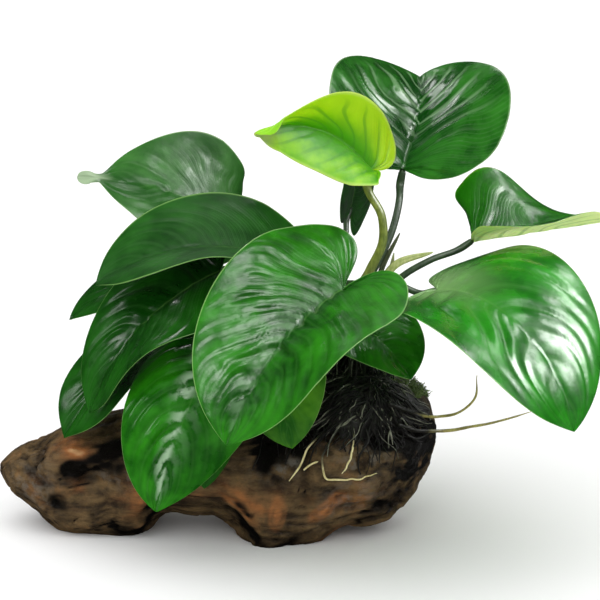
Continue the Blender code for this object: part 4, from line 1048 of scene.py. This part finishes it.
# Straight lines from the front and underside of the rhizome to the log, with a sag and a wave added
def hangingRoots(rng, kind, s):
    count = kind["hanging"]
    rows = rhizomeAxis(rng.uniform(0.45, 1.0, count))
    around = np.radians(rng.uniform(-70, 150, count))
    start = rows[:, :3] + together(rng.normal(0, 1.5, count), -np.cos(around) * rows[:, 3] * 0.8,
                                   -np.abs(np.sin(around)) * rows[:, 3] * 0.6)
    x = np.clip(start[:, 0] + rng.normal(2, 8, count), -18, 48)
    end = woodSurface(x, rng.uniform(10, 80, count)) + rng.normal(0, 0.6, (count, 3))
    line = start[:, None] * (1 - s[..., None]) + end[:, None] * s[..., None]
    sag = together(rng.normal(0, 2.2, (count, 1)), -rng.uniform(0.5, 6.5, (count, 1)),
                   rng.normal(0.5, 1.5, (count, 1))) * np.sin(math.pi * s)[..., None]
    wave = 0.4 * np.sin(s * rng.uniform(6, 18, (count, 1)) + rng.uniform(0, 6, (count, 1)))
    return line + sag + wave[..., None] * np.array((1.0, 0.4, 0.2))


# Each kind is one mesh of tubes that thin towards their tips
def buildTangle(materials):
    rng = np.random.default_rng(7)
    s = np.linspace(0, 1, rootTangle["steps"])[None]
    kinds = [rootTangle["dark"], rootTangle["straws"]]
    paths = [np.concatenate([lyingRoots(rng, kind, s), hangingRoots(rng, kind, s)]) for kind in kinds]
    for name, look, kind, path in zip(("tangle", "straws"), ("dark", "grey"), kinds, paths):
        radius = kind["radius"] * rng.uniform(0.5, 1.15, (len(path), 1)) * (1 - 0.65 * s**2)
        points, faces, along = tubeMesh(path, radius, rootTangle["sides"])
        makePiece("root_" + name, points, faces, materials["tangle_" + look], {"along": along})


# An oval of the log's surface, lifted and roughened
def buildFelt(material):
    ring = np.linspace(0, 1, felt["rings"] + 1)[1:, None]
    spoke = turnsOf(felt["spokes"])[None]
    edge = layeredNoise(together(3 * np.cos(spoke), 3 * np.sin(spoke), 0), 3, 12)
    far = ring * (1 + felt["uneven"] * edge)
    x = np.clip(rootTangle["centre"][0] + rootTangle["halfX"] * far * np.cos(spoke), -30, 52)
    surface, normal = woodNormal(x, rootTangle["centre"][1] + rootTangle["halfTurn"] * far * np.sin(spoke))
    height = (felt["height"] + felt["lumps"] * layeredNoise(surface / 3.0, 3, 14)) * (1 - ring**4)
    top = surface + normal * (height + felt["lift"] - felt["edgeDrop"] * ring**8)[..., None]
    points, faces = closedGrid(np.concatenate([top, (surface - normal * felt["under"])[::-1]]))
    makePiece("root_felt", points, faces, material, {"along": np.full(len(points), 0.5)},
              "root_mat")


# Moss: short arching stems over an oval of the log, each with two rows of small pointed leaves, which are
# thin closed solids of five points
mossTable = dict(centre=(38, 104), halfX=14, halfTurn=40, stems=760, steps=8, leaves=16, length=3.6,
                 leaf=1.5, radius=0.16, lift=1.2, crown=0.1)
mossLeafFaces = np.array(((0, 1, 4), (1, 2, 4), (2, 3, 4), (3, 0, 4), (1, 0, 3), (2, 1, 3)))


def buildMoss(material):
    rng = np.random.default_rng(11)
    count, leaves, steps = mossTable["stems"], mossTable["leaves"], mossTable["steps"]
    away = np.sqrt(rng.uniform(0, 1, count))
    angle = rng.uniform(0, 2 * math.pi, count)
    x = np.clip(mossTable["centre"][0] + mossTable["halfX"] * away * np.cos(angle), -30, 52)
    foot = woodSurface(x, mossTable["centre"][1] + mossTable["halfTurn"] * away * np.sin(angle))
    normal = unit(foot - woodInside(foot))
    lean = unit(normal + 0.75 * rng.normal(0, 1, (count, 3)) + (0, 0, 0.35))
    droop = unit(np.cross(lean, rng.normal(0, 1, (count, 3))))
    s = np.linspace(0, 1, steps)[:, None]
    length = mossTable["length"] * rng.uniform(0.5, 1.1, (count, 1, 1))
    stem = foot[:, None] + length * (lean[:, None] * s + 0.45 * droop[:, None] * s**2)
    stem += normal[:, None] * (mossTable["lift"] * rng.uniform(0.2, 1.6, (count, 1, 1)))
    tube, tubeFaces, _ = tubeMesh(stem, mossTable["radius"] * (1 - 0.6 * s.T), 3)
    share = np.linspace(0.12, 1.0, leaves)
    low = np.minimum((share * (steps - 1)).astype(int), steps - 2)
    part = (share * (steps - 1) - low)[:, None]
    root = stem[:, low] * (1 - part) + stem[:, low + 1] * part
    ahead = unit(stem[:, low + 1] - stem[:, low])
    side = unit(np.cross(ahead, normal[:, None])) * np.where(np.arange(leaves) % 2, 1, -1)[:, None]
    twist = rng.normal(0, 0.35, (count, leaves, 3))
    out = unit(side + 0.55 * ahead + twist)
    flat = unit(np.cross(out, ahead + 0.3 * twist))
    width = unit(np.cross(flat, out))
    size = mossTable["leaf"] * rng.uniform(0.6, 1.15, (count, leaves, 1)) * (1 - 0.4 * share)[:, None]
    middle, half = root + out * size * 0.4, width * size * 0.24
    corners = np.stack([root, middle + half, root + out * size + flat * 0.15 * size, middle - half,
                        root + out * size * 0.42 + flat * mossTable["crown"]], 2).reshape(-1, 3)
    leafFaces = mossLeafFaces + (len(tube) + 5 * np.arange(count * leaves))[:, None, None]
    along = np.concatenate([np.full(len(tube), 0.3), np.repeat(np.tile(share * 0.7 + 0.2, count), 5)])
    makePiece("moss_tuft", np.concatenate([tube, corners]), [*tubeFaces, leafFaces.reshape(-1, 3)], material,
              {"along": along}, "moss")


def buildRoots(materials, log):
    buildMainRoots(materials, log)
    buildFelt(materials["tangle_dark"])
    buildTangle(materials)
    buildMoss(materials["moss"])
    print("root mass and moss made")


# Stage: pale floor, soft lights, and the camera at the photo's angle

# The floor and the world are dimmer in the gloss of the leaves than to the eye, as in a dark studio
stage = dict(floorColour=(0.94, 0.94, 0.94), floorDark=(0.9118, 0.9118, 0.9118), floorSize=40.0,
             floorInGloss=(0.03, 0.03, 0.03), worldWhite=1.0, worldFill=0.40, worldInGloss=0.02)
cameraPlace = dict(target=(-0.5, 6.6, 94.5), distance=0.6, elevation=12, lens=90)
# Soft boxes that make the highlights: angle round from the front, angle up, size, power. Most light on the
# surfaces themselves comes from the wide sky lamp, which the gloss doesn't show
softLights = {
    "top_box": dict(turn=16, height=70, size=(0.20, 0.20), power=1.6),
    "front_box": dict(turn=14, height=42, size=(0.12, 0.34), power=2.0),
    "right_box": dict(turn=64, height=37, size=(0.38, 0.56), power=21.0),
    "right_back_box": dict(turn=108, height=52, size=(0.36, 0.16), power=2.2),
    "back_right_box": dict(turn=122, height=28, size=(0.15, 0.09), power=0.45),
    "back_box": dict(turn=173, height=43, size=(0.20, 0.16), power=0.4),
    "back_left_box": dict(turn=-156, height=31, size=(0.22, 0.12), power=0.5),
    "left_box": dict(turn=-78, height=34, size=(0.18, 0.22), power=0.9),
}
softBoxDistance = 0.85
skyLight = dict(turn=-12, height=68, power=3.1, width=100)


# A lamp or the camera, round from the front by turn and up by height, looking at the middle of the plant
def placed(name, data, turn, height, distance):
    away = Vector(direction(turn, height))
    made = newObject(name, data)
    made.location = Vector(cameraPlace["target"]) * mm + away * distance
    made.rotation_euler = (-away).to_track_quat("-Z", "Y").to_euler()
    return made


def buildFloor():
    half = stage["floorSize"] / 2
    mesh = bpy.data.meshes.new("floor")
    corners = [(-half, -half, 0), (half, -half, 0), (half, half, 0), (-half, half, 0)]
    mesh.from_pydata(corners, [], [(0, 1, 2, 3)])
    material = plainMaterial("floor")
    pale = objectPlace(material.node_tree).noise(3.0).mix(stage["floorColour"], stage["floorDark"])
    glossy = Value(addNode(material.node_tree, "ShaderNodeLightPath").outputs["Is Glossy Ray"])
    setShader(material, {"Base Color": glossy.mix(pale, stage["floorInGloss"]), "Roughness": 0.8,
                         "Specular IOR Level": 0.1})
    mesh.materials.append(material)
    newObject("floor", mesh)


def buildWorld():
    world = bpy.data.worlds.new("studio")
    world.use_nodes = True
    path = addNode(world.node_tree, "ShaderNodeLightPath").outputs
    fill = stage["worldFill"]
    strength = (Value(path["Is Camera Ray"]) * (stage["worldWhite"] - fill)
                + Value(path["Is Glossy Ray"]) * (stage["worldInGloss"] - fill) + fill)
    background = world.node_tree.nodes["Background"]
    setInput(background.inputs["Color"], (1, 1, 1))
    setInput(background.inputs["Strength"], strength)
    bpy.context.scene.world = world


def buildLights():
    for name, light in softLights.items():
        data = bpy.data.lights.new(name, "AREA")
        data.shape = "RECTANGLE"
        data.size, data.size_y = light["size"]
        data.energy = light["power"]
        lamp = placed(name, data, light["turn"], light["height"], softBoxDistance)
        lamp.visible_diffuse = False
    data = bpy.data.lights.new("sky", "SUN")
    data.energy = skyLight["power"]
    data.angle = math.radians(skyLight["width"])
    placed("sky", data, skyLight["turn"], skyLight["height"], 1.0).visible_glossy = False


def buildCamera():
    data = bpy.data.cameras.new("camera")
    data.lens = cameraPlace["lens"]
    bpy.context.scene.camera = placed("camera", data, 0, cameraPlace["elevation"], cameraPlace["distance"])


bpy.context.scene.view_settings.view_transform = "Standard"
buildCamera()
buildFloor()
buildWorld()
buildLights()
print("stage set")
buildLeaves()
stemMaterials = buildStemMaterials()
buildStems(stemMaterials)
buildRoots(stemMaterials, buildWood())
